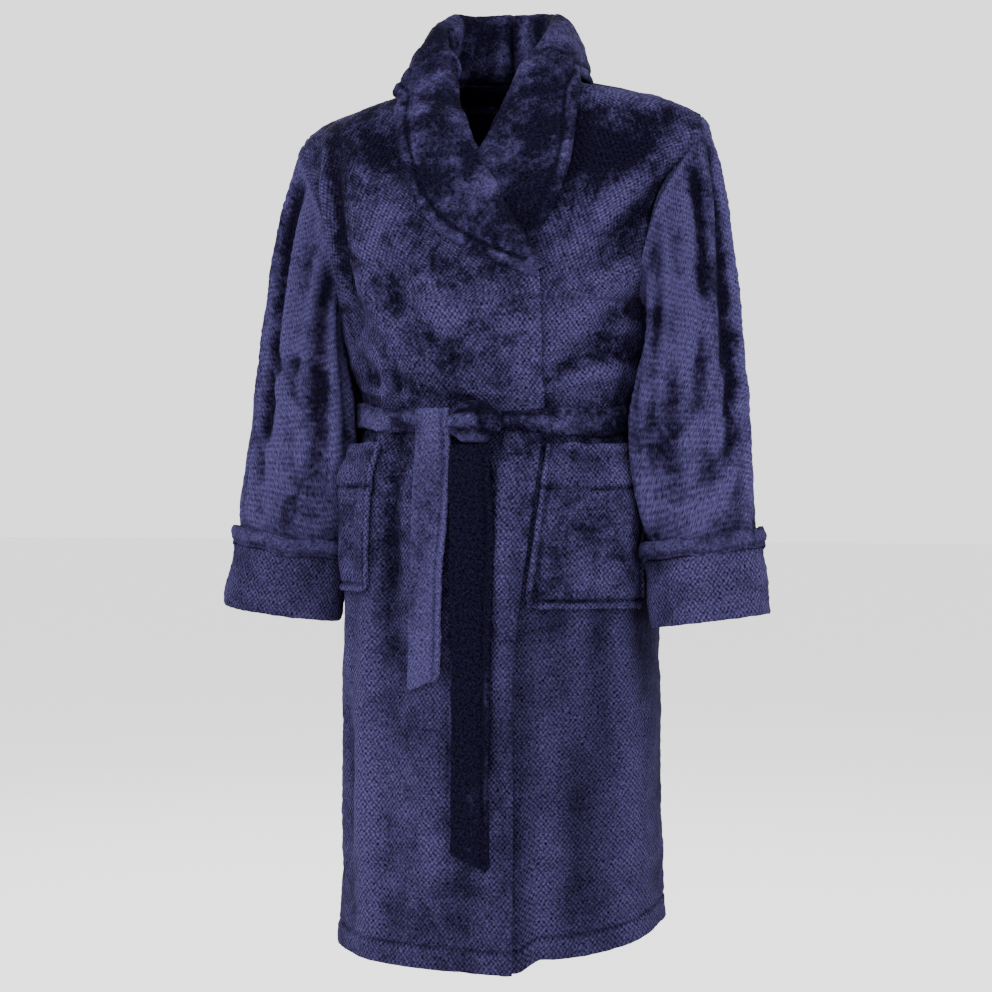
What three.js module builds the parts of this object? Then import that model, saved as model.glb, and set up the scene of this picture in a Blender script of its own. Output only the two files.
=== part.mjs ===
// A plush fleece bathrobe, tied at the waist, as an assembly of its sewn pieces.
// Frame: millimetres, +Z up, the wearer's left is +X and the front faces -Y. The origin is at the
// middle of the neck opening, level with the neck seam, where a hanger's neck would stand.
import * as THREE from 'three';

// ---- driving dimensions (mm) ----
const garmentLength = 1050;      // neck seam level down to the hem
const hemWidth = 404;            // widths and depths across the closed robe, side to side and front to back
const hemDepth = 264;
const hipWidth = 390;
const hipDepth = 258;
const waistWidth = 332;
const waistDepth = 216;
const chestWidth = 376;
const chestDepth = 246;
const shoulderWidth = 494;       // armhole seam to armhole seam
const neckWidth = 160;
const neckDepth = 124;
const shoulderDrop = 48;         // shoulder point below the neck seam
const underarmDrop = 270;
const waistDrop = 402;
const blouseDrop = 95;           // below the belt the skirt swells out again within this height
const hipDrop = 632;
const neckSet = 2;               // the neck opening lies this far behind the middle
const fabric = 3.6;              // plush pile and backing
const layerGap = 1.2;            // air between two layers that lie on each other
const seamGap = 0.4;             // air between two pieces that are sewn edge to edge

const sleeveDrop = 648;          // cuff edge below the neck seam, at the middle of the sleeve
const cuffClear = 26;            // air between the hips and the inner side of the cuff
const cuffForward = 55;          // cuff centre in front of the shoulder point
const cuffWidth = 124;
const cuffThickness = 100;       // front to back
const cuffSpread = hipWidth / 2 + cuffClear + cuffWidth / 2;   // cuff centre out from the middle
const cuffDepth = 95;            // height of the turned-back cuff
const cuffPly = 5;               // two layers of fleece
const cuffBandHeight = 25;
const cuffGap = 0.8;
const cuffTilt = 8;              // the outer side of the cuff ends this far above its middle
const seamEase = 4.5;            // the sleeve stands off the armhole this far at the underarm

const vDepth = 246;              // neck seam down to where the lapels end
const crossing = 81;             // right edge past the centre at that height
const edgeAtHem = 52;            // right edge past the centre at the hem
const underlap = 108;            // left edge past the centre, hidden below the right front
const facingWidth = 76;
const facingPly = 3;
const lapSkirt = 9.5;            // how far the right front stands off the left one in the skirt
const lapCollar = 23;            // and where the left lapel lies between them

const collarHeight = 92;         // stand at the centre back
const collarPly = 5;
const neckTapeWidth = 14;
const neckTapePly = 2;
const neckTapeSpan = [110, 250];     // round the back of the neck, degrees from the centre front

const pocketDrop = 440;          // pocket mouth below the neck seam
const pocketHeight = 190;
const pocketPly = 4.4;
const pocketBulge = 12;          // room inside at the mouth
const pocketTurn = 50;           // width of a pocket as an angle round the body, degrees
const rightPocketInner = -40;    // inner side of the right pocket, degrees from the centre front
const leftPocketGap = 5;         // left pocket's inner side past the edge of the right front

const beltWidth = 38;
const beltPly = 7;
const beltDip = 12;              // how far the belt drops towards the knot
const knotSize = [68, 36, 46];
const knotCentre = 8;            // knot centre past the middle of the robe
const tailGap = 2;
const tailRest = 0.9;            // air between a hanging end and the skirt
const shortTailWidth = 40;
const shortTailLength = 330;
const longTailWidth = 50;
const longTailLength = 495;
const beltLoopWidth = 12;
const beltLoopPly = 2.2;
const beltLoopSet = 4;           // behind the side seam, degrees
const beltLoopRise = 16;         // loop beyond the belt, above and below it

// ---- colours and finishes ----
const plush = new THREE.MeshStandardMaterial({ color: 0x2c2850, roughness: 0.9, metalness: 0 });
const reverse = new THREE.MeshStandardMaterial({ color: 0x17132c, roughness: 0.95, metalness: 0 });
const sash = new THREE.MeshStandardMaterial({ color: 0x332f5c, roughness: 0.88, metalness: 0 });

const robe = new THREE.Group();
const degrees = Math.PI / 180;
const ellipsePower = 2.4;        // a body section is an ellipse filled out towards its corners

function smooth(from, to, value) {
  return THREE.MathUtils.smoothstep(value, from, to);
}

// A smooth curve through stations sorted by their first number, with the slopes of its neighbours.
function through(stations, at) {
  const last = stations.length - 1;
  let i = 0;
  while (i < last - 1 && at > stations[i + 1][0]) i += 1;
  const t = THREE.MathUtils.clamp((at - stations[i][0]) / (stations[i + 1][0] - stations[i][0]), 0, 1);
  const step = stations[i + 1][0] - stations[i][0];
  return stations[i].slice(1).map((value, k) => {
    const next = stations[i + 1][k + 1];
    const slope = (j) => {
      const before = stations[Math.max(j - 1, 0)];
      const after = stations[Math.min(j + 1, last)];
      return (after[k + 1] - before[k + 1]) / (after[0] - before[0]);
    };
    const t2 = t * t;
    const t3 = t2 * t;
    return (2 * t3 - 3 * t2 + 1) * value + (t3 - 2 * t2 + t) * step * slope(i)
      + (3 * t2 - 2 * t3) * next + (t3 - t2) * step * slope(i + 1);
  });
}

// Sections of the body: height, half width, half depth, and how far the centre sits back.
const shoulderHalf = shoulderWidth / 2;
const bodySections = [
  [-garmentLength, hemWidth / 2, hemDepth / 2, 0],
  [-hipDrop, hipWidth / 2, hipDepth / 2, 0],
  [-(waistDrop + blouseDrop), hipWidth / 2 - 5, hipDepth / 2 - 4, 0],
  [-waistDrop, waistWidth / 2, waistDepth / 2, 0],
  [-(waistDrop - 70), chestWidth / 2 - 7, chestDepth / 2 - 5, 0],
  [-underarmDrop, chestWidth / 2, chestDepth / 2, 1],
  [-(underarmDrop + shoulderDrop) / 2, shoulderHalf - 22, chestDepth / 2 - 7, 4],
  [-(shoulderDrop + 30), shoulderHalf + 10, chestDepth / 2 - 27, 8],
  [-shoulderDrop, shoulderHalf, chestDepth / 2 - 38, 8],
  [-shoulderDrop / 2, (shoulderHalf + neckWidth / 2) / 2 + 26, neckDepth / 2 + 16, 5],
  [-shoulderDrop / 5, neckWidth / 2 + 47, neckDepth / 2 + 8, 1],
  [0, neckWidth / 2, neckDepth / 2, -neckSet],
];

// A point on the body's inside surface: angle 0 is the centre front, growing towards the wearer's left.
function skin(angle, z) {
  const [a, b, back] = through(bodySections, z);
  const s = Math.sin(angle);
  const c = Math.cos(angle);
  const x = Math.sign(s) * a * Math.abs(s) ** (2 / ellipsePower);
  const y = back - Math.sign(c) * b * Math.abs(c) ** (2 / ellipsePower);
  return new THREE.Vector3(x, y, z);
}

// The same point moved off the surface along its outward normal.
function onBody(angle, z, out) {
  const point = skin(angle, z);
  const turn = 0.02;
  const along = skin(angle + turn, z).sub(skin(angle - turn, z));
  const lift = Math.min(z, -0.5);
  const up = skin(angle, lift + 0.5).sub(skin(angle, lift - 0.5));
  return point.addScaledVector(along.cross(up).normalize(), out);
}

function angleAt(x, z) {
  const [a] = through(bodySections, z);
  return Math.sign(x) * Math.asin(Math.min(1, Math.abs(x) / a) ** (ellipsePower / 2));
}

// ---- closed shells ----
function turnedOut(geometry) {
  const index = geometry.index.array;
  const p = geometry.attributes.position;
  const corner = (k) => new THREE.Vector3().fromBufferAttribute(p, index[k]);
  let volume = 0;
  for (let k = 0; k < index.length; k += 3) {
    volume += corner(k).dot(corner(k + 1).cross(corner(k + 2)));
  }
  if (volume < 0) {
    for (let k = 0; k < index.length; k += 3) [index[k + 1], index[k + 2]] = [index[k + 2], index[k + 1]];
  }
  geometry.computeVertexNormals();
  return geometry;
}

// A four-sided panel: place(u, v, d) gives its points, with u across, v along and d through the cloth.
function panel(across, along, place) {
  const geometry = new THREE.BoxGeometry(1, 1, 1, across, along, 1);
  const p = geometry.attributes.position;
  for (let i = 0; i < p.count; i += 1) {
    const point = place(p.getX(i) + 0.5, p.getY(i) + 0.5, p.getZ(i) + 0.5);
    p.setXYZ(i, point.x, point.y, point.z);
  }
  return turnedOut(geometry);
}

// An open tube with a wall: place(turn, t, d) gives its points, with turn round it and t along it.
function tube(around, along, place) {
  const profile = [];
  for (let k = 0; k <= along; k += 1) profile.push(new THREE.Vector2(1, k / along));
  for (let k = along; k >= 0; k -= 1) profile.push(new THREE.Vector2(0.5, k / along));
  profile.push(new THREE.Vector2(1, 0));
  const geometry = new THREE.LatheGeometry(profile, around);
  const p = geometry.attributes.position;
  for (let i = 0; i < p.count; i += 1) {
    const ring = profile[i % profile.length];
    const turn = (Math.floor(i / profile.length) % around) / around * 2 * Math.PI;
    const point = place(turn, ring.y, ring.x === 1 ? 1 : 0);
    p.setXYZ(i, point.x, point.y, point.z);
  }
  return turnedOut(geometry);
}

function add(name, geometry, material) {
  const mesh = new THREE.Mesh(geometry, material);
  mesh.name = name;
  robe.add(mesh);
}

// Evenly spread numbers between each pair of marks, so that rows fall on the heights that matter.
function rowsThrough(marks, counts) {
  const rows = [marks[0]];
  counts.forEach((count, k) => {
    for (let i = 1; i <= count; i += 1) rows.push(THREE.MathUtils.lerp(marks[k], marks[k + 1], i / count));
  });
  return rows;
}

// ---- body panels ----
const seamBack = 9 * degrees;    // side seams lie this far behind the sides, below the chest

function sideSeam(z) {
  return Math.PI / 2 + seamBack * smooth(-underarmDrop - 10, -waistDrop - 60, z);
}

// The armhole is cut from the side of the body between the underarm and the shoulder point.
const armholeCut = 0.1;

function armholeAngle(z) {
  const t = THREE.MathUtils.clamp((z + underarmDrop) / (underarmDrop - shoulderDrop), 0, 1);
  const share = 1 - armholeCut * Math.sin(Math.PI * t) ** 0.6;
  return Math.asin(share ** (ellipsePower / 2));
}

const waistEase = 30;            // the belt presses the cloth in this far above and below the waist
const bodyRows = rowsThrough([
  -garmentLength, -(waistDrop + blouseDrop), -(waistDrop + waistEase), -waistDrop, -(waistDrop - waistEase),
  -underarmDrop, -(shoulderDrop + 30), -shoulderDrop, 0,
], [4, 2, 1, 1, 3, 5, 2, 5]);

function sideEdge(z) {
  return z > -underarmDrop && z < -shoulderDrop ? armholeAngle(z) : sideSeam(z);
}

const seamTurn = seamGap / 2 / 150;   // half the seam gap as an angle at the sides

add('back_panel', panel(18, bodyRows.length - 1, (u, v, d) => {
  const z = bodyRows[Math.round(v * (bodyRows.length - 1))];
  const reach = z > -underarmDrop && z < -shoulderDrop ? armholeAngle(z) : Math.PI - sideSeam(z);
  const angle = Math.PI + (u * 2 - 1) * (reach - 2 * seamTurn);
  return onBody(angle, z, d * fabric);
}), plush);

// Front edges, as distances past the centre front. Above the point where the lapels end each one
// follows its roll line up to the neck seam.
const rollTop = 48;
const rollMiddle = [-104, 13];
const rollRoom = 3;            // the cloth ends this far short of the roll line, which the collar wraps

function rollEdge(z) {
  return through([[-vDepth, crossing], rollMiddle, [0, -rollTop]], z)[0];
}

function rightEdge(z) {
  if (z > -vDepth) return rollEdge(z) - rollRoom * smooth(-vDepth, -vDepth + 60, z);
  return THREE.MathUtils.lerp(crossing, edgeAtHem, smooth(-waistDrop, -(waistDrop + 330), z));
}

function leftEdge(z) {
  if (z > -vDepth) return -rightEdge(z);
  return -THREE.MathUtils.lerp(crossing, underlap, smooth(-vDepth, -(waistDrop + 60), z));
}

// The right front lies over the left one: it lifts off the body between its side seam and the lap.
function lapAt(angle, z) {
  const skirt = lapSkirt + (lapCollar - lapSkirt) * smooth(-vDepth - 65, -vDepth, z);
  const height = skirt * (1 - smooth(-62, -8, z));
  return height * smooth(-60 * degrees, -32 * degrees, angle);
}

function frontPanel(side) {
  return panel(18, bodyRows.length - 1, (u, v, d) => {
    const z = bodyRows[Math.round(v * (bodyRows.length - 1))];
    const edge = angleAt(side < 0 ? rightEdge(z) : leftEdge(z), z);
    const seam = side * (sideEdge(z) - 2 * seamTurn);
    const angle = THREE.MathUtils.lerp(seam, edge, u);
    return onBody(angle, z, (side < 0 ? lapAt(angle, z) : 0) + d * fabric);
  });
}

add('right_front_panel', frontPanel(-1), plush);
add('left_front_panel', frontPanel(1), plush);

// Facings: strips inside the front edges, from the hem to where the lapels begin.
const facingRows = bodyRows.filter((z) => z <= -underarmDrop);

function facing(side) {
  return panel(7, facingRows.length - 1, (u, v, d) => {
    const z = facingRows[Math.round(v * (facingRows.length - 1))];
    const edge = side < 0 ? rightEdge(z) : leftEdge(z);
    const angle = angleAt(edge + side * (4 + u * facingWidth), z);
    const under = -layerGap - (1 - d) * facingPly;
    return onBody(angle, z, (side < 0 ? lapAt(angle, z) : 0) + under);
  });
}

add('right_front_facing', facing(-1), reverse);
add('left_front_facing', facing(1), reverse);

// ---- sleeves ----
// Directions in which the sleeve leaves the armhole and reaches the cuff, on its underarm line and on
// its outer line. Their lengths set how long it keeps each direction.
const underarmLeave = new THREE.Vector3(1.5 * waistWidth - 423, -20, -210);
const shoulderLeave = new THREE.Vector3(190, -20, -300);
const underarmArrive = new THREE.Vector3(60, -60, -380);
const shoulderArrive = new THREE.Vector3(60, -60, -560);

// turn 0 is the outer line of the sleeve, a quarter turn on is its front, half a turn on the underarm.
function armhole(side, turn) {
  const middle = -(underarmDrop + shoulderDrop) / 2;
  const z = middle + Math.cos(turn) * (underarmDrop - shoulderDrop) / 2;
  const angle = armholeAngle(THREE.MathUtils.clamp(z, -underarmDrop + 0.01, -shoulderDrop - 0.01));
  const point = skin(Math.sin(turn) >= 0 ? angle : Math.PI - angle, z);
  return point.multiply(new THREE.Vector3(side, 1, 1));
}

function sleevePoint(side, turn, t, out) {
  const outer = (1 + Math.cos(turn)) / 2;
  const start = fabric + seamGap + seamEase * (1 - outer);
  const a = armhole(side, turn).add(new THREE.Vector3(side * start, 0, -0.5));
  const b = new THREE.Vector3(
    side * (cuffSpread + Math.cos(turn) * cuffWidth / 2),
    -cuffForward - Math.sin(turn) * cuffThickness / 2,
    -sleeveDrop + Math.cos(turn) * cuffTilt,
  );
  const leave = underarmLeave.clone().lerp(shoulderLeave, outer);
  const arrive = underarmArrive.clone().lerp(shoulderArrive, outer);
  leave.x *= side;
  arrive.x *= side;
  const t2 = t * t;
  const t3 = t2 * t;
  const at = new THREE.Vector3()
    .addScaledVector(a, 2 * t3 - 3 * t2 + 1)
    .addScaledVector(leave, t3 - 2 * t2 + t)
    .addScaledVector(b, 3 * t2 - 2 * t3)
    .addScaledVector(arrive, t3 - t2);
  if (out === 0) return at;
  const step = 0.05;
  const round = sleevePoint(side, turn + step, t, 0).sub(sleevePoint(side, turn - step, t, 0));
  const ahead = sleevePoint(side, turn, Math.min(1, t + 0.01), 0);
  const down = ahead.sub(sleevePoint(side, turn, Math.max(0, t - 0.01), 0));
  return at.addScaledVector(round.cross(down).normalize(), side * out);
}

const sleevePace = 560;          // millimetres of sleeve per unit of t, near the cuff
const cuffStart = 1 - cuffDepth / sleevePace;
const bandShare = cuffBandHeight / cuffDepth;

for (const [word, side] of [['right', -1], ['left', 1]]) {
  add(`${word}_sleeve`, tube(18, 10, (turn, t, d) => sleevePoint(side, turn, t, d * fabric)), plush);
  const bandTop = THREE.MathUtils.lerp(cuffStart, 1, bandShare);
  add(`${word}_cuff`, tube(18, 2, (turn, t, d) => {
    const along = THREE.MathUtils.lerp(bandTop + 0.003, 1, t);
    return sleevePoint(side, turn, along, fabric + cuffGap + d * cuffPly);
  }), plush);
  add(`${word}_cuff_band`, tube(18, 1, (turn, t, d) => {
    const along = THREE.MathUtils.lerp(cuffStart, bandTop, t);
    return sleevePoint(side, turn, along, fabric + cuffGap + (1 - t) + d * (cuffPly + 1.5));
  }), plush);
}

// ---- shawl collar ----
// Each half runs from its front tip up the roll line and round the neck to the centre back. Across,
// it goes from the seam edge up the stand, over the roll, and down the fall to its outer edge.
// Outer edge of the lapel: how far out from the middle and how far down.
const lapelOuter = [
  [0, -crossing + 3, -vDepth - 6],
  [0.2, -20, -228],
  [0.4, 34, -196],
  [0.6, 70, -148],
  [0.8, 98, -84],
  [1, 114, -27],
];
const neckSeam = fabric + 1.6;   // the collar stands on the neck edge of the body
const legReach = 9;              // width of the turned-in edge under the front
const rollRadius = 6.9;

function collarSections(side) {
  const over = (x, z, out) => {
    const angle = angleAt(side * x, z);
    return onBody(angle, z, (side < 0 ? lapAt(angle, z) : 0) + out);
  };
  const sections = [];
  const steps = 10;
  for (let k = 0; k <= steps; k += 1) {
    const share = k / steps;
    const z = THREE.MathUtils.lerp(-vDepth + 4, -14, share);
    const x = -rollEdge(z);
    const [outX, outZ] = through(lapelOuter, share);
    const middle = fabric / 2;
    const legOut = middle - rollRadius;
    const fallOut = middle + rollRadius;
    const lift = Math.sin(Math.PI * share);
    sections.push([
      over(x + legReach, z - 4, legOut),
      over(x, z, legOut),
      over(x - rollRadius - 1, z + 2, middle),
      over(x, z, fallOut),
      over(THREE.MathUtils.lerp(x, outX, 0.5), THREE.MathUtils.lerp(z, outZ, 0.5), fallOut + lift),
      over(outX, outZ, fallOut),
    ]);
  }
  // Round the neck: angle at the seam, height of the roll, lean of the stand, the height at which the
  // outer edge lies on the shoulders, and how far the seam edge is tucked inside the front.
  const neck = [
    [37, 22, 0.04, -22, 6],
    [48, 34, 0.06, -16, 3],
    [66, 58, 0.1, -10, 0],
    [92, 78, 0.18, -8, 0],
    [120, collarHeight - 6, 0.2, -11, 0],
    [150, collarHeight, 0.18, -18, 0],
    [180, collarHeight, 0.14, -22, 0],
  ];
  for (const [turn, rise, lean, edge, tuck] of neck) {
    const centre = new THREE.Vector3(0, -neckSet, neckSeam);
    const seam = skin(side * turn * degrees, 0).setZ(neckSeam);
    seam.addScaledVector(centre.clone().sub(seam).normalize(), tuck);
    const top = seam.clone().lerp(centre, lean);
    top.z = rise;
    const away = top.clone().sub(centre).setZ(0).normalize();
    const outerTurn = side * turn * degrees;
    const lap = side < 0 ? lapAt(outerTurn, edge) : 0;
    const outer = onBody(outerTurn, edge, lap + fabric + layerGap + collarPly / 2 + 1);
    const bulge = top.clone().lerp(outer, 0.45).addScaledVector(away, 12);
    bulge.z += 10;
    sections.push([
      seam,
      top.clone().addScaledVector(away, -1),
      top.clone().addScaledVector(away, rollRadius - 1).setZ(rise + rollRadius),
      top.clone().addScaledVector(away, 2 * rollRadius + 2),
      bulge,
      outer,
    ]);
  }
  return sections;
}

function collarHalf(side) {
  const sections = collarSections(side);
  const rails = sections[0].map((point, k) => new THREE.CatmullRomCurve3(
    sections.map((section) => section[k]), false, 'centripetal',
  ));
  const middle = (t, w) => {
    const at = new THREE.CatmullRomCurve3(rails.map((rail) => rail.getPoint(t)), false, 'centripetal');
    return at.getPoint(w);
  };
  const atMiddle = (t, w) => {
    const point = middle(t, w);
    // the two halves meet at the centre back
    if (side * point.x < seamGap / 2 && t > 0.9) point.x = side * seamGap / 2;
    return point;
  };
  return panel(sections.length - 1, 10, (u, v, d) => {
    const step = 0.01;
    const along = atMiddle(Math.min(1, u + step), v).sub(atMiddle(Math.max(0, u - step), v));
    const across = middle(u, Math.min(1, v + step)).sub(middle(u, Math.max(0, v - step)));
    const normal = along.cross(across).normalize();
    if (u === 1) normal.setX(0).normalize();
    return atMiddle(u, v).addScaledVector(normal, (d - 0.5) * collarPly);
  });
}

add('right_collar', collarHalf(-1), plush);
add('left_collar', collarHalf(1), plush);

// Tape over the neck seam, inside the back.
const tapeGap = 0.6;

add('neck_tape', panel(10, 1, (u, v, d) => {
  const angle = THREE.MathUtils.lerp(neckTapeSpan[0], neckTapeSpan[1], u) * degrees;
  const z = THREE.MathUtils.lerp(-neckTapeWidth, -1, v);
  return onBody(angle, z, -tapeGap - (1 - d) * neckTapePly);
}), reverse);

// ---- patch pockets ----
// Sewn down along the sides and the bottom, open at the top, with room for a hand inside.
function pocket(side, inner) {
  return panel(9, 6, (u, v, d) => {
    const angle = inner + side * u * pocketTurn * degrees;
    const z = -pocketDrop - pocketHeight * (1 - v);
    const room = pocketBulge * Math.sin(Math.PI * u) ** 0.7 * Math.sin(Math.PI / 2 * v);
    const base = fabric + layerGap + (side < 0 ? lapAt(angle, z) : 0);
    return onBody(angle, z, base + room + d * pocketPly);
  });
}

add('right_pocket', pocket(-1, rightPocketInner * degrees), plush);
add('left_pocket', pocket(1, angleAt(crossing + leftPocketGap, -pocketDrop)), plush);

// ---- belt ----
const beltBase = fabric + 2;

function beltHeight(angle) {
  return -waistDrop - beltDip * Math.cos(angle / 2) ** 6;
}

// The belt lies on the right front, and comes down to the left front past its edge.
function beltOut(angle) {
  const z = beltHeight(angle);
  const edge = angleAt(rightEdge(z), z);
  return beltBase + lapAt(angle, z) * (1 - smooth(edge + 4 * degrees, edge + 34 * degrees, angle));
}

const knotHeight = beltHeight(0) - 4;
const knotOut = lapSkirt + beltBase - seamGap + knotSize[1] / 2;
const knotGrip = 0.92 * knotSize[0] / 2 + seamGap;   // the band goes into the knot behind its widest part
const knotLeft = angleAt(knotCentre + knotGrip, knotHeight);
const knotRight = angleAt(knotCentre - knotGrip, knotHeight);

const beltSteps = Math.round(waistWidth / 6);

add('belt_waist', panel(beltSteps, 2, (u, v, d) => {
  const angle = THREE.MathUtils.lerp(knotLeft, knotRight + 2 * Math.PI, u);
  const round = angle > Math.PI ? angle - 2 * Math.PI : angle;
  const z = beltHeight(round) + (v - 0.5) * beltWidth;
  return onBody(round, z, beltOut(round) + d * beltPly);
}), sash);

function rounded(value) {
  return Math.sign(value) * Math.abs(value) ** 0.7;
}

const knot = new THREE.SphereGeometry(1, 16, 10);
const knotMiddle = onBody(angleAt(knotCentre, knotHeight), knotHeight, knotOut);
for (let i = 0; i < knot.attributes.position.count; i += 1) {
  const p = new THREE.Vector3().fromBufferAttribute(knot.attributes.position, i);
  knot.attributes.position.setXYZ(
    i,
    knotMiddle.x + rounded(p.x) * knotSize[0] / 2,
    knotMiddle.y + rounded(p.y) * knotSize[1] / 2,
    knotMiddle.z + rounded(p.z) * knotSize[2] / 2,
  );
}
add('belt_knot', turnedOut(knot), sash);

// The two ends hang from the knot and rest on the skirt, side by side. The short end comes over the
// top of the belt, beside the knot, and the long end comes out below the knot.
const tailSplit = -25;           // where the two ends meet, past the middle
const shortTop = beltHeight(0) + beltWidth / 2 - 4;
const longTop = knotHeight - knotSize[2] / 2 + 0.3;

// middle is the end's centre line past the middle of the robe, and drift how far it swings aside on its
// way down. The belt or knot that it comes from holds it forward by so much, over a reach below its top.
function tail(width, length, top, middle, drift, [forward, reach]) {
  return panel(2, 10, (u, v, d) => {
    const z = top - length * (1 - v);
    const x = middle + (u - 0.5) * width + drift * (1 - v);
    const flare = Math.min(z, -waistDrop - waistEase);
    const clear = lapSkirt + fabric + tailRest + forward * smooth(top - reach, top - 15, z);
    return new THREE.Vector3(x, onBody(angleAt(x, flare), flare, clear).y - d * beltPly, z);
  });
}

const shortX = tailSplit - tailGap - shortTailWidth / 2;
const longX = tailSplit + longTailWidth / 2;
add('belt_tail_short', tail(shortTailWidth, shortTailLength, shortTop, shortX, -12, [11, beltWidth + 52]), sash);
add('belt_tail_long', tail(longTailWidth, longTailLength, longTop, longX, 0, [18, 90]), sash);

// Belt loops on the side seams: each leaves the seam above the belt and joins it again below.
const girth = waistDepth / 2 + 12;   // millimetres per radian round the side of the waist

function beltLoop(side) {
  return panel(1, 10, (u, v, d) => {
    const half = beltWidth / 2 + beltLoopRise;
    const fall = (v - 0.5) * 2;
    const angle = side * (sideSeam(-waistDrop) + beltLoopSet * degrees) + (u - 0.5) * beltLoopWidth / girth;
    const z = beltHeight(angle) + fall * half;
    const arch = (beltPly + beltBase - fabric + layerGap + seamGap) * (1 - smooth(0.62, 0.97, Math.abs(fall)));
    return onBody(angle, z, fabric + 2 * seamGap + arch + d * beltLoopPly);
  });
}

add('right_belt_loop', beltLoop(-1), sash);
add('left_belt_loop', beltLoop(1), sash);

export default robe;
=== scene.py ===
"""A plush fleece bathrobe, tied at the waist, put together as it is sewn: the body panels first, then
the facings, sleeves, cuffs, shawl collar, neck tape, pockets, belt and belt loops. Shapes are worked
out in millimetres and put into meshes in metres. The wearer's left is +X and the front faces -Y."""

import bpy
import numpy as np
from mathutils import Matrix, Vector


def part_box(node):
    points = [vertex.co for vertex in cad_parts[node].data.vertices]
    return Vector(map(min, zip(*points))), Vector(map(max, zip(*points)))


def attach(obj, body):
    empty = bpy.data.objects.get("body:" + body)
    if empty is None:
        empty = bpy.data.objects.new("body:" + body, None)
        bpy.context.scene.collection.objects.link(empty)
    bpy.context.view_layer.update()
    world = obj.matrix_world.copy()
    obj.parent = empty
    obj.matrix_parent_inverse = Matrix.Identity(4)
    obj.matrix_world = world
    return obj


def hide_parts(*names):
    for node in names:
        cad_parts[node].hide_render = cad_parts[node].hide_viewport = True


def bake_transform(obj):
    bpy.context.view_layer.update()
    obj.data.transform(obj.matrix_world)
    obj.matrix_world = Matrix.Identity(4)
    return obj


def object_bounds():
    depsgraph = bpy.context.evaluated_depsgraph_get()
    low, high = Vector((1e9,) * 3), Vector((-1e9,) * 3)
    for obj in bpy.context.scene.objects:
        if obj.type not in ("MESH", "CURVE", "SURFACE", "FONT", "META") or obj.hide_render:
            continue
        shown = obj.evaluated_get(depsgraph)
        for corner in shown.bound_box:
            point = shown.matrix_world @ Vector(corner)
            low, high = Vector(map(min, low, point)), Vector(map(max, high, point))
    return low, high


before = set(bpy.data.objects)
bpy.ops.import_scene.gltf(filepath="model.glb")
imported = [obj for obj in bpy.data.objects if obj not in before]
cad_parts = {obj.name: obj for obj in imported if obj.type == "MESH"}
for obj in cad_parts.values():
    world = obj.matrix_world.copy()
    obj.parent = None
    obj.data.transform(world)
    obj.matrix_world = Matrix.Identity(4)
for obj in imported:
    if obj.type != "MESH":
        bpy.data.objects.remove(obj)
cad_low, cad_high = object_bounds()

# ---- Studio ----
# The robe hangs as if it were worn, in front of a pale floor and a white wall of light. Large soft
# lamps stand at both sides, in front and behind, so that the pile catches light along every edge.
VIEW_TURN = np.radians(16)
VIEW_DISTANCE = 2.1
VIEW_TARGET = Vector((-0.006, -0.002, -0.499))
LENS = 61.8
FLOOR_DROP = 0.32
FLOOR_HALF = 30

camera_data = bpy.data.cameras.new("camera")
camera_data.lens = LENS
camera = bpy.data.objects.new("camera", camera_data)
bpy.context.scene.collection.objects.link(camera)
camera.location = VIEW_TARGET + VIEW_DISTANCE * Vector((np.sin(VIEW_TURN), -np.cos(VIEW_TURN), 0))
camera.rotation_euler = (VIEW_TARGET - camera.location).to_track_quat("-Z", "Y").to_euler()
bpy.context.scene.camera = camera


def soft_lamp(name, place, size, power, colour=(1, 1, 1)):
    """A square lamp of a given size in metres at a place, turned to the middle of the robe."""
    data = bpy.data.lights.new(name, "AREA")
    data.size = size
    data.energy = power
    data.color = colour
    lamp = bpy.data.objects.new(name, data)
    bpy.context.scene.collection.objects.link(lamp)
    lamp.location = place
    lamp.rotation_euler = (VIEW_TARGET - Vector(place)).to_track_quat("-Z", "Y").to_euler()


soft_lamp("lamp_left", (-2.2, -1.6, 0.9), 1.4, 55)
soft_lamp("lamp_right", (2.6, -1.2, 0.5), 1.4, 48)
soft_lamp("lamp_front", (0.5, -3.2, 0.6), 2.0, 26)
soft_lamp("lamp_behind_left", (-1.6, 1.9, 1.2), 1.2, 40)
soft_lamp("lamp_behind_right", (1.7, 1.8, 1.3), 1.2, 48)

world = bpy.data.worlds.new("studio")
bpy.context.scene.world = world
world.use_nodes = True
world.node_tree.nodes["Background"].inputs["Color"].default_value = (1, 1, 1, 1)
world.node_tree.nodes["Background"].inputs["Strength"].default_value = 1.9

floor_mesh = bpy.data.meshes.new("floor")
floor_z = cad_low.z - FLOOR_DROP
floor_mesh.from_pydata(
    [(-FLOOR_HALF, -FLOOR_HALF, floor_z), (FLOOR_HALF, -FLOOR_HALF, floor_z),
     (FLOOR_HALF, FLOOR_HALF, floor_z), (-FLOOR_HALF, FLOOR_HALF, floor_z)], [], [(0, 1, 2, 3)])
floor = bpy.data.objects.new("floor", floor_mesh)
bpy.context.scene.collection.objects.link(floor)
floor_material = bpy.data.materials.new("pale_floor")
floor_material.use_nodes = True
floor_material.node_tree.nodes["Principled BSDF"].inputs["Base Color"].default_value = (0.9, 0.9, 0.9, 1)
floor_material.node_tree.nodes["Principled BSDF"].inputs["Roughness"].default_value = 0.9
floor_mesh.materials.append(floor_material)

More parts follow.
